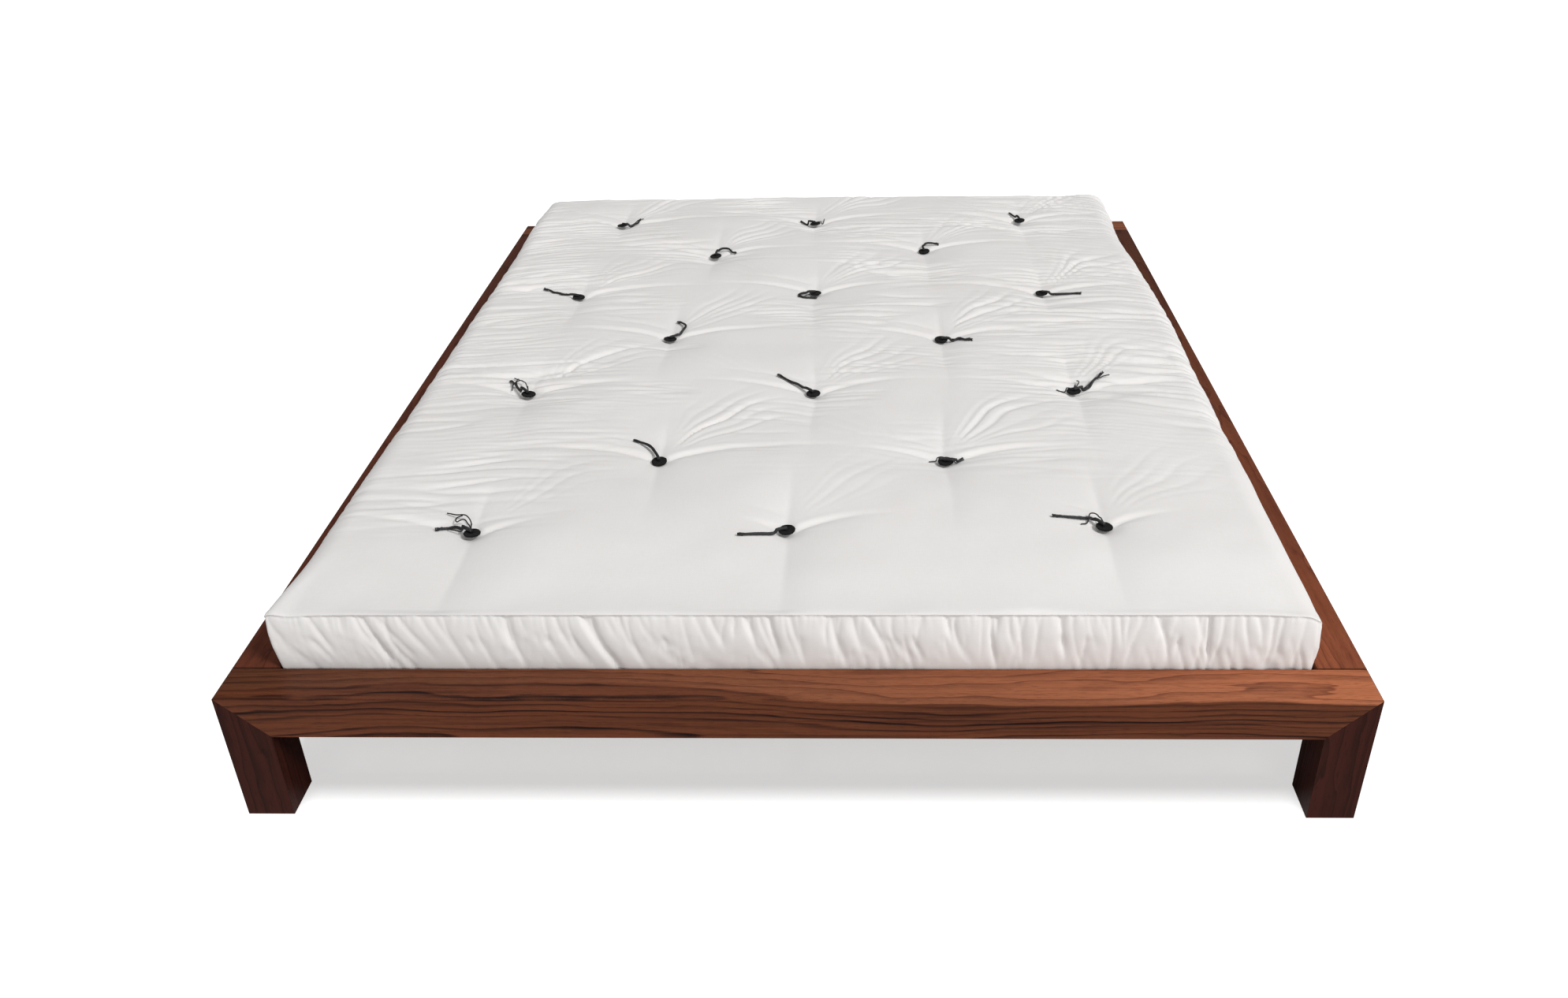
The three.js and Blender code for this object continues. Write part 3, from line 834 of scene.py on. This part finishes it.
def side_pleats(x, y):
    """Crosswise creases that the gathered sides draw into the top, closest near the outer tufts."""
    bend = 0.35 * np.maximum(np.abs(x) - 0.45, 0) ** 2
    slant = y + bend + 0.03 * x * noise(x * 1.6, y * 2.2, 3) + 0.010 * noise(x * 5, y * 8, 4)
    coarse = valley(2.0 * noise(x * 2.4 + 9, slant * 25, 5), 2.6)
    fine = valley(2.2 * noise(x * 3.4, slant * 44, 6), 2.2)
    finest = valley(2.0 * noise(x * 5.0 + 3, slant * 74, 10), 1.8)
    patch = np.clip(0.50 + 1.6 * noise(x * 2.6, y * 4.5, 7), 0.0, 1.5)
    fine_patch = np.clip(0.50 + 1.9 * noise(x * 3.6 + 4, y * 6.5, 8), 0.0, 1.7)
    creases = 0.0058 * patch * coarse + 0.0044 * fine_patch * fine
    creases += 0.0014 * np.clip(1.3 - fine_patch, 0, 1) * finest
    return -pleated_part(x, y) * (creases - 0.0009)


def pleated_part(x, y):
    """How strongly each part of the top is pleated: its two sides, and patches between them."""
    gather = np.zeros_like(x)
    for place in TUFT_PLACES:
        if abs(place.x) > 0.4:
            gather = np.maximum(gather, swell(y - place.y - 0.05, 0.10))
    right = smoothstep(0.28, 0.60, x) * smoothstep(-0.72, -0.30, y)
    left = 0.80 * smoothstep(0.28, 0.62, -x) * smoothstep(-0.86, -0.50, y)
    inner = 0.75 * (1 - smoothstep(0.30, 0.6, np.abs(x))) * smoothstep(-0.70, -0.2, y)
    inner *= np.clip(0.15 + 2.4 * noise(x * 3.2 + 7, y * 4.6, 9), 0.0, 1.0)
    return (right + left) * (0.75 + 0.50 * gather) + inner


def soft_lumps(x, y):
    """Uneven cotton filling."""
    return 0.0028 * noise(x * 4.2, y * 4.2, 11) + 0.0010 * noise(x * 12, y * 12, 12)


STRIP_HEIGHT = 0.11
FOLD_DEPTHS, FOLD_SHARES = (0.0018, 0.0034, 0.0058), (0.42, 0.38, 0.20)
FOLD_TOPS, TOP_SHARES = (-0.1, 0.30), (0.70, 0.30)       # where folds begin, in shares of the strip
LEAN_PLACES, LEANS = (0, 0.75, 1.1, 1.6), (0.50, 0.36, 0.14, 0.02)   # less lean further right


def gathered_folds(along, down):
    """Depth of the sharp folds, drawn one after another round the border."""
    draw = np.random.default_rng(21)
    whole = along.max()
    depths = np.zeros_like(down)
    s = 0.045
    while s < whole:
        at_foot = s < 2 * HALF_X
        lean = np.interp(s, LEAN_PLACES, LEANS) if at_foot else 0.0
        lean += draw.normal() * 0.16
        bow = draw.normal() * 0.007
        depth = draw.choice(FOLD_DEPTHS, p=FOLD_SHARES) * draw.uniform(0.8, 1.2)
        ends = draw.uniform(0.35, 1.20)
        starts = draw.choice(FOLD_TOPS, p=TOP_SHARES)
        narrow, wide = draw.uniform(0.0022, 0.0034), draw.uniform(0.0045, 0.0090)
        body = smoothstep(starts, starts + 0.16, down) * (1 - smoothstep(ends - 0.35, ends, down))
        depths += depth * body * fold_line(along, down, s, lean, bow, narrow, wide)
        s += draw.uniform(0.005, 0.021)
    return depths


def border_folds(x, y, along, down):
    """Inward folds of the gathered border strip, leaning as they run down from the seam."""
    corner_fold = 0.0030 * fold_line(along, down, 0.010, 0.62, 0.0, 0.020, 0.006) * (1 - 0.5 * down)
    pucker = 0.0020 * valley(1.4 * noise(along * 70, down * 1.5, 22), 1.6) * np.exp(-down / 0.12)
    dimples = 0.0022 * valley(1.5 * noise(along * 34 - 9 * down, down * 3.2, 24), 1.6)
    dimples *= smoothstep(0.15, 0.4, down) * (0.4 + 0.6 * noise(along * 9, down * 2, 25))
    low_right = smoothstep(0.35, 0.7, x) * (y < 0) * smoothstep(0.35, 0.7, down)
    low_folds = 0.0028 * low_right * valley(1.4 * noise(along * 48 - 2.0 * down, down * 0.6, 23), 1.8)
    return 0.0016 - corner_fold - gathered_folds(along, down) - pucker - dimples - low_folds


def fold_line(along, down, start, lean, bow, narrow, wide):
    """1 along a fold that starts at the seam at start and leans more the lower it gets."""
    middle = start + lean * STRIP_HEIGHT * down ** 1.5 + bow * np.sin(np.pi * down)
    return cusp(along - middle, narrow, wide)


def sideways_shift(x, y, z):
    """The pad has been pushed towards the left foot corner, and its sides wander in and out."""
    back = y + HALF_Y
    left = 0.013 * np.exp(-back / 0.22) - 0.006 - 0.005 * swell(back - 1.3, 0.35)
    left -= 0.004 * smoothstep(1.85, 1.98, back)
    left += 0.003 * noise(y * 2.3, y * 0 + 0.5, 31)
    right = 0.010 * swell(back - 1.12, 0.25) - 0.013 * swell(back - 1.66, 0.16)
    above_rail = smoothstep(0.237, 0.305, z)
    return above_rail * (right * smoothstep(0.40, 0.78, x) - left * smoothstep(0.35, 0.78, -x))


def cover_lift(points, down, way, along):
    """How far each point of the cover moves out along its normal."""
    top, border = down < 0, (down >= 0) & (down <= 1)
    lift = np.zeros(len(points))
    x, y = points[top, 0], points[top, 1]
    seam_hold = smoothstep(0.0, SEAM_HOLD, HALF_Y - np.abs(y))
    lift[top] = seam_hold * (tuft_pull(x, y) + side_pleats(x, y) + soft_lumps(x, y))
    x, y = points[border, 0], points[border, 1]
    way, along, down = way[border], along[border], down[border]
    folds = border_folds(x, y, along, down)
    at_side = np.abs(way[:, 0]) > 0.7
    corner = np.abs(way[:, 0] * way[:, 1]) * 2
    shown = 1 - smoothstep(0.40, 0.60, down)
    at_sides = (side_pleats(x, y) + 0.3 * folds) * shown
    lift[border] = np.where(at_side, at_sides, folds) * (1 - 0.7 * corner)
    return lift


def build_futon():
    cover = Cover()
    x, y = sew_top(cover)
    walk = border_walk()
    hem = sew_border(cover, walk)
    sew_underside(cover, x, y, walk, hem)
    points, down = np.concatenate(cover.points), np.concatenate(cover.down)
    way, along = np.concatenate(cover.way), np.concatenate(cover.along)
    pad = mesh_object("futon_cover", points.tolist(), cover.faces, COTTON)
    normals = np.zeros(len(points) * 3)
    pad.data.vertices.foreach_get("normal", normals)
    points = points + normals.reshape(-1, 3) * cover_lift(points, down, way, along)[:, None]
    points[:, 0] += sideways_shift(*points.T)
    pad.data.vertices.foreach_set("co", points.ravel())
    crease_seam(pad.data, {i * (CELLS_Y + 1) + j for i, j in walk})
    pad.data.update()
    return pad


def crease_seam(mesh, rim):
    """The cover folds sharply along the border seam."""
    ends = np.zeros(len(mesh.edges) * 2, int)
    mesh.edges.foreach_get("vertices", ends)
    on_rim = np.isin(ends, list(rim)).reshape(-1, 2).all(axis=1)
    mesh.edges.foreach_set("use_edge_sharp", on_rim)


FUTON = build_futon()
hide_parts("futon_mattress")
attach(FUTON, "futon")

COVER = BVHTree.FromPolygons([v.co.copy() for v in FUTON.data.vertices],
                             [tuple(p.vertices) for p in FUTON.data.polygons])


def cover_height(x, y):
    """Height of the futon's top at a place in plan."""
    return COVER.ray_cast(Vector((x, y, 1.0)), Vector((0, 0, -1)))[0].z


# ---------------------------------------------------------------- felt discs and thread tails

def felt():
    material, tree, shader, place = new_material(
        "black_felt", Sheen_Weight=0.04, Sheen_Roughness=0.5, Specular_IOR_Level=0.08)
    fibre = noise_value(tree, place, 900.0, 3.0, 0.7, 1.5)
    cloud = noise_value(tree, place, 160.0, 2.0)
    colour = ramp(tree, calc(tree, "MULTIPLY", fibre, cloud), [
        (0.15, (0.005, 0.005, 0.005)), (0.5, (0.022, 0.021, 0.021))])
    tree.links.new(colour, shader.inputs["Base Color"])
    tree.links.new(line(tree, fibre, 0.2, 0.8), shader.inputs["Roughness"])
    bump_from(tree, shader, fibre, 0.8, 0.8 * MM)
    return material


def waxed_thread():
    material, tree, shader, place = new_material("waxed_thread", Specular_IOR_Level=0.5)
    ply = noise_value(tree, place, 1500.0, 2.0)
    colour = ramp(tree, ply, [(0.3, (0.004, 0.004, 0.005)), (0.7, (0.020, 0.020, 0.022))])
    tree.links.new(colour, shader.inputs["Base Color"])
    tree.links.new(line(tree, ply, 0.3, 0.35), shader.inputs["Roughness"])
    bump_from(tree, shader, ply, 0.5, 0.3 * MM)
    return material


FELT = felt()
THREAD = waxed_thread()

# Routes of the thread tails: millimetres right, back and above the cover from each disc's
# middle. Tufts count from the foot end, left to right.
TAILS = {
    1: [(0, 0, 4), (-12, 6, 7), (-24, 15, 6), (-38, 19, 3), (-52, 13, 2), (-63, 7, 2)],
    2: [(0, 0, 4), (-14, -6, 5), (-30, -14, 3), (-46, -18, 3), (-62, -21, 3), (-80, -24, 2)],
    3: [(0, 0, 4), (-10, 9, 7), (-20, 16, 7), (-34, 19, 3), (-56, 19, 3), (-84, 19, 2)],
    4: [(0, 0, 4), (-8, 16, 8), (-19, 34, 8), (-35, 50, 5), (-55, 63, 3)],
    5: [(-13, 2, 4), (-2, 2, 4), (10, 0, 5), (22, 0, 3), (31, 7, 2)],
    6: [(0, 0, 4), (-12, 8, 9), (-24, 18, 11), (-36, 32, 8), (-47, 50, 4)],
    7: [(0, 0, 4), (-14, 10, 7), (-30, 22, 6), (-44, 33, 4), (-60, 50, 3), (-74, 63, 2)],
    8: [(0, 0, 4), (14, 6, 6), (30, 14, 8), (44, 30, 9), (56, 48, 7), (66, 63, 5)],
    9: [(0, 0, 4), (16, 8, 7), (28, 26, 9), (29, 48, 8), (19, 68, 5), (7, 80, 3)],
    10: [(0, 0, 4), (14, -2, 5), (26, -9, 3), (38, -6, 4), (50, -16, 3), (66, -21, 2)],
    11: [(0, 0, 4), (-14, 2, 6), (-36, 8, 4), (-60, 20, 3), (-78, 34, 3), (-91, 44, 3)],
    12: [(0, 0, 4), (-17, -5, 6), (-32, -16, 4), (-37, -28, 3), (-28, -37, 3), (-12, -36, 3), (4, -29, 4)],
    13: [(0, 0, 4), (16, -6, 5), (41, -16, 3), (64, -20, 3), (88, -24, 2)],
    14: [(0, 0, 4), (2, 15, 8), (11, 28, 9), (28, 28, 6), (42, 14, 4), (51, 0, 3)],
    15: [(0, 0, 4), (-3, 15, 8), (6, 29, 9), (21, 31, 6), (38, 26, 3)],
    16: [(0, 0, 4), (14, -8, 5), (27, -6, 4), (37, 9, 5), (44, 30, 4)],
    17: [(0, 0, 4), (-14, 6, 5), (-27, 12, 4), (-40, 19, 3)],
    18: [(0, 0, 4), (-4, 13, 7), (-11, 25, 6), (-18, 39, 4), (-22, 52, 3)],
}
# Single strands that have come away from a tail.
STRANDS = {
    1: [[(-2, 4, 4), (-6, 22, 11), (-18, 38, 12), (-36, 44, 7), (-55, 53, 3)],
        [(0, 2, 4), (-16, 24, 13), (-30, 22, 10), (-34, 34, 8), (-26, 43, 7)],
        [(-3, 0, 4), (-20, 4, 8), (-40, 12, 4), (-58, 22, 2)]],
    3: [[(0, 3, 4), (-8, 22, 10), (-20, 26, 8), (-26, 12, 3), (-38, 3, 2)]],
    5: [[(4, 0, 5), (-8, 4, 7), (-18, 4, 4), (-30, -1, 2)],
        [(-4, -2, 4), (10, -6, 6), (22, -3, 3), (33, 4, 2)]],
    6: [[(0, 0, 4), (-6, 20, 12), (-20, 38, 12), (-34, 34, 8), (-38, 18, 5)],
        [(-2, 2, 4), (-18, 10, 10), (-30, 30, 12), (-30, 52, 8), (-42, 62, 4)]],
    8: [[(-2, 0, 4), (-10, 4, 5), (-20, 7, 3), (-33, 9, 2)],
        [(0, 2, 4), (6, 18, 8), (14, 30, 7), (12, 42, 4)],
        [(8, 4, 5), (34, 22, 9), (58, 44, 8), (78, 52, 6)]],
    10: [[(0, -2, 4), (20, 0, 5), (40, -12, 3), (62, -8, 2)]],
    12: [[(0, 0, 4), (-14, -16, 5), (-28, -34, 3), (-40, -36, 2)]],
    16: [[(2, 0, 4), (22, 4, 6), (38, 22, 5), (52, 34, 3)]],
    17: [[(0, 0, 4), (11, 1, 5), (20, 8, 5), (24, 22, 5)]],
}
TAIL_DIAMETER = 6.0 * MM
STRAND_DIAMETER = 2.2 * MM
PLIES = 5                            # strands in a tail
PLY_TWIST = 260                      # radians of twist per metre


def smooth_route(points, steps):
    """A Catmull-Rom curve through the points."""
    p = np.array(points, float)
    p = np.vstack([2 * p[0] - p[1], p, 2 * p[-1] - p[-2]])
    curve = []
    for i in range(1, len(p) - 2):
        t = np.linspace(0, 1, steps, endpoint=False)[:, None]
        a, b, c, d = p[i - 1], p[i], p[i + 1], p[i + 2]
        curve.append(0.5 * (2 * b + (c - a) * t + (2 * a - 5 * b + 4 * c - d) * t ** 2
                            + (3 * b - a - 3 * c + d) * t ** 3))
    curve.append(p[-2:-1])
    return np.concatenate(curve)


def tail_route(tuft, marks, thick):
    """A tail's route in the bed's frame, laid on the cover."""
    centre = TUFT_PLACES[tuft - 1]
    route = smooth_route(marks, 7) * MM
    route[:, 0] += centre.x
    route[:, 1] += centre.y
    for point in route:
        clear = max(point[2], thick / 2 + 0.0003)
        beside = math.hypot(point[0] - centre.x, point[1] - centre.y)
        floor = cover_height(point[0], point[1])
        if beside < DISC_RADIUS + thick:
            floor = max(floor, DISC_HIGH.z)
        point[2] = floor + clear
    return smooth_heights(route)


def smooth_heights(route):
    """The route with its hollows filled a little."""
    z = route[:, 2].copy()
    for _ in range(2):
        z[1:-1] = np.maximum(z[1:-1], (z[:-2] + 2 * z[1:-1] + z[2:]) / 4)
    route[:, 2] = z
    return route


def frames_along(route):
    """Two directions square to the route at each of its points."""
    way = np.gradient(route, axis=0)
    way /= np.linalg.norm(way, axis=1)[:, None]
    side = np.cross(way, (0, 0, 1.0))
    side /= np.linalg.norm(side, axis=1)[:, None] + 1e-9
    return side, np.cross(side, way)


def tube(route, radius, sides=8):
    """Points and faces of a closed tube. radius is one number, or one for each point of the route."""
    side, up = frames_along(route)
    radii = np.broadcast_to(np.asarray(radius, float), (len(route),))
    angle = np.arange(sides) * 2 * np.pi / sides
    ring = side[:, None, :] * np.cos(angle)[None, :, None] + up[:, None, :] * np.sin(angle)[None, :, None]
    points = (route[:, None, :] + ring * radii[:, None, None]).reshape(-1, 3)
    return points, ring_faces(len(route), sides)


def twisted_bundle(route, diameter, seed):
    """Strands twisted round the route, coming apart a little at its end."""
    side, up = frames_along(route)
    step = np.linalg.norm(np.diff(route, axis=0), axis=1)
    run = np.concatenate([[0], np.cumsum(step)])
    share = run / run[-1]
    draw = np.random.default_rng(seed)
    parts = []
    for ply in range(PLIES):
        turn = 2 * np.pi * ply / PLIES + run * PLY_TWIST + draw.uniform(-0.3, 0.3)
        spread = 0.27 * diameter * (1 - 0.25 * share + 0.15 * np.sin(run * 400 + ply))
        splay = smoothstep(0.80, 1.0, share) * draw.uniform(0.05, 0.30) * diameter
        reach = (spread + splay)[:, None]
        strand = route + side * np.cos(turn)[:, None] * reach + up * np.sin(turn)[:, None] * reach
        thick = 0.24 * diameter * (1 - 0.35 * smoothstep(0.5, 1.0, share))
        parts.append(tube(strand, thick, 7))
    return merged(parts)


def lay_cord(name, points, faces):
    cord = mesh_object(name, points, faces, THREAD)
    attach(cord, "futon")


for tuft, marks in TAILS.items():
    route = tail_route(tuft, marks, TAIL_DIAMETER)
    points, faces = twisted_bundle(route, TAIL_DIAMETER, tuft)
    lay_cord(f"thread_tail_{tuft:02d}", points, faces)

for tuft, strands in STRANDS.items():
    for n, marks in enumerate(strands, 1):
        route = tail_route(tuft, marks, STRAND_DIAMETER)
        points, faces = tube(route, STRAND_DIAMETER / 2)
        lay_cord(f"loose_strand_{tuft:02d}_{n}", points, faces)


DISC_SPOKES = 44
# From the top's middle round the edge to the underside's: shares of the radius and of the thickness.
DISC_PROFILE = [(r, 0.5) for r in np.linspace(0.06, 0.93, 9)]
DISC_PROFILE += [(0.985, 0.36), (1.0, 0.0), (0.985, -0.36)]
DISC_PROFILE += [(r, -0.5) for r in np.linspace(0.93, 0.06, 3)]


def felt_disc(number, place):
    """A cut felt disc, a little dished by the thread that holds it."""
    draw = np.random.default_rng(300 + number)
    tilt_x, tilt_y = draw.uniform(-0.10, 0.10, 2)
    thick = DISC_HIGH.z - DISC_LOW.z
    points = []
    for r, level in DISC_PROFILE:
        for s in range(DISC_SPOKES):
            angle = 2 * np.pi * s / DISC_SPOKES
            fray = 1 + 0.018 * draw.normal() * (r > 0.9)
            px = DISC_RADIUS * r * fray * math.cos(angle)
            py = DISC_RADIUS * r * fray * math.sin(angle)
            dish = 0.0016 * r ** 2 - 0.0014 * math.exp(-(r / 0.25) ** 2)
            pz = level * thick + dish + px * tilt_x + py * tilt_y + 0.00012 * draw.normal()
            points.append((place.x + px, place.y + py, place.z + pz))
    faces = ring_faces(len(DISC_PROFILE), DISC_SPOKES)
    disc = mesh_object(f"felt_disc_{number:02d}", points, faces, FELT)
    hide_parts(f"tuft_disc_{number:02d}")
    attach(disc, "futon")


for number, place in enumerate(TUFT_PLACES, 1):
    felt_disc(number, place)


# ---------------------------------------------------------------- underside discs, seam and screws

# Radius and height, from the middle of the lower face round the edge to the middle of the upper one.
UNDER_PROFILE = [(0.001, -0.0030), (0.004, -0.0014), (0.0125, -0.0012), (0.0139, -0.0006), (0.0140, 0.0),
                 (0.0139, 0.0006), (0.0125, 0.0012), (0.001, 0.0012)]
UNDER_SPOKES = 40
UNDER_RISE = 0.0062                  # the tufts hold the discs this far up in the underside


def spoke_angles(spokes):
    return [2 * np.pi * s / spokes for s in range(spokes)]


def underside_discs():
    """Plain discs under the futon, one below each tuft."""
    points = np.array([(r * math.cos(angle), r * math.sin(angle), height)
                       for r, height in UNDER_PROFILE for angle in spoke_angles(UNDER_SPOKES)])
    faces = [tuple(reversed(face)) for face in ring_faces(len(UNDER_PROFILE), UNDER_SPOKES)]
    parts = [(points + (place.x, place.y, BASE_Z + UNDER_RISE), faces) for place in TUFT_PLACES]
    discs = mesh_object("underside_tuft_discs", *merged(parts), FELT)
    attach(discs, "futon")


# Places along a stitch, in shares of the way from one to the next, and its radii there in millimetres.
STITCH_SHARES = (-0.34, -0.2, 0.0, 0.2, 0.34)
STITCH_RADII = (0.15, 0.38, 0.45, 0.38, 0.15)


def seam_stitching():
    """Small stitches along the seam between the top and the border strip."""
    rim = [FUTON.data.vertices[i * (CELLS_Y + 1) + j].co for i, j in border_walk()]
    rim = np.array([tuple(p) for p in rim])
    parts = []
    for start, end in zip(rim, np.roll(rim, -1, 0)):
        way = end - start
        middle = start + 0.5 * way + (0, 0, 0.0002)
        stitch = np.array([middle + way * share for share in STITCH_SHARES])
        parts.append(tube(stitch, np.array(STITCH_RADII) * MM, 6))
    stitches = mesh_object("seam_stitching", *merged(parts), COTTON)
    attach(stitches, "futon")


SCREW_RINGS = (0.02, 0.16, 0.30, 0.44, 0.56, 0.80, 0.96, 1.0)
SCREW_SPOKES = 32
SCREW_PROUD = 0.2 * MM


def screw_head(place, out, radius):
    """A countersunk head with a cross recess, facing along out."""
    points = []
    for r in SCREW_RINGS:
        for angle in spoke_angles(SCREW_SPOKES):
            x, y = r * math.cos(angle), r * math.sin(angle)
            slot = min(abs(x), abs(y)) < 0.14 and r < 0.5
            points.append((x, y, -0.45 * (1 - r) if slot else -0.08 * (r == 1.0)))
    points += [(0.45 * math.cos(angle), 0.45 * math.sin(angle), -0.6)
               for angle in spoke_angles(SCREW_SPOKES)]
    faces = ring_faces(len(SCREW_RINGS) + 1, SCREW_SPOKES, closed_below=False)
    turn = np.array(Vector(out).to_track_quat("Z", "Y").to_matrix())
    return np.array(points) * radius @ turn.T + np.array(place), faces


def screws(name, heads, radius):
    made = mesh_object(name, *merged([screw_head(place, out, radius) for place, out in heads]), STEEL)
    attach(made, "bed_frame")


def fix_base():
    heads = []
    for node in SLATS:
        low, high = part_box(node)
        y = (low.y + high.y) / 2
        heads += [((x, y, high.z + SCREW_PROUD), (0, 0, 1)) for x in (low.x + 0.014, high.x - 0.014)]
    screws("slat_screws", heads, 4.2 * MM)
    heads = []
    for hand, side in (("left", 1), ("right", -1)):
        low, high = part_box(f"slat_ledge_{hand}")
        face = high.x if side > 0 else low.x
        for y in np.linspace(low.y + 0.09, high.y - 0.09, 7):
            heads.append(((face + side * SCREW_PROUD, y, (low.z + high.z) / 2), (side, 0, 0)))
    screws("ledge_screws", heads, 4.5 * MM)


underside_discs()
seam_stitching()
fix_base()


# ---------------------------------------------------------------- floor and light

FLOOR_HALF = 30.0                    # metres
FLOOR_GLOW = 0.575
WORLD_LIGHT, WORLD_SEEN = 0.18, 0.85     # strength for the light, and what the view adds to it


def white_floor():
    """A white studio floor. Its glow is only for the view, so that it lights nothing."""
    material, tree, shader, place = new_material("white_floor", Roughness=0.9, Specular_IOR_Level=0.0)
    shader.inputs["Emission Color"].default_value = (1, 1, 1, 1)
    seen = add_node(tree, "ShaderNodeLightPath").outputs["Is Camera Ray"]
    tree.links.new(calc(tree, "MULTIPLY", seen, FLOOR_GLOW), shader.inputs["Emission Strength"])
    haze = noise_value(tree, place, 1.5, 2.0)
    tree.links.new(ramp(tree, haze, [(0.3, 0.58), (0.7, 0.60)]), shader.inputs["Base Color"])
    return material


def lay_floor():
    corners = [(x * FLOOR_HALF, y * FLOOR_HALF, 0) for x, y in ((-1, -1), (1, -1), (1, 1), (-1, 1))]
    floor = mesh_object("floor", corners, [(0, 1, 2, 3)], white_floor(), smooth=False)
    return floor


FLOOR = lay_floor()


def hang_lamp(name, kind, towards, strength, floor_only=False):
    """A lamp that shines one way. The floor has a light of its own, and the others pass it by."""
    data = bpy.data.lights.new(name, kind)
    data.energy = strength
    lamp = bpy.data.objects.new(name, data)
    lamp.rotation_euler = Vector(towards).to_track_quat("-Z", "Y").to_euler()
    bpy.context.scene.collection.objects.link(lamp)
    receivers = bpy.data.collections.new(f"lit_by_{name}")
    receivers.objects.link(FLOOR)
    receivers.collection_objects[0].light_linking.link_state = "INCLUDE" if floor_only else "EXCLUDE"
    lamp.light_linking.receiver_collection = receivers
    return lamp


def sun(name, towards, strength, spread, floor_only=False):
    """A far light; spread is its width in degrees."""
    lamp = hang_lamp(name, "SUN", towards, strength, floor_only)
    lamp.data.angle = math.radians(spread)


def soft_box(place, target, size, power):
    """A weak lamp that brightens the right foot corner a little."""
    lamp = hang_lamp("soft_box", "AREA", Vector(target) - Vector(place), power)
    lamp.data.size = size
    lamp.location = place


def light_studio():
    world = bpy.data.worlds.new("studio")
    world.use_nodes = True
    tree = world.node_tree
    background = tree.nodes["Background"].inputs
    background["Color"].default_value = (1.0, 1.0, 1.0, 1)
    seen = add_node(tree, "ShaderNodeLightPath").outputs["Is Camera Ray"]
    tree.links.new(line(tree, seen, WORLD_SEEN, WORLD_LIGHT), background["Strength"])
    bpy.context.scene.world = world
    sun("floor_wash", (0.0, 0.25, -1.0), 3.0, 20, floor_only=True)
    sun("window_right", (-0.58, 0.36, -0.73), 1.86, 13)
    sun("overhead", (-0.05, -0.12, -1.0), 0.50, 46)
    sun("room_front", (0.15, 0.93, -0.33), 0.90, 40)
    soft_box((1.7, -1.9, 1.7), (0.5, -0.8, 0.3), 1.3, 9.0)


light_studio()
bpy.context.scene.view_settings.view_transform = "Standard"
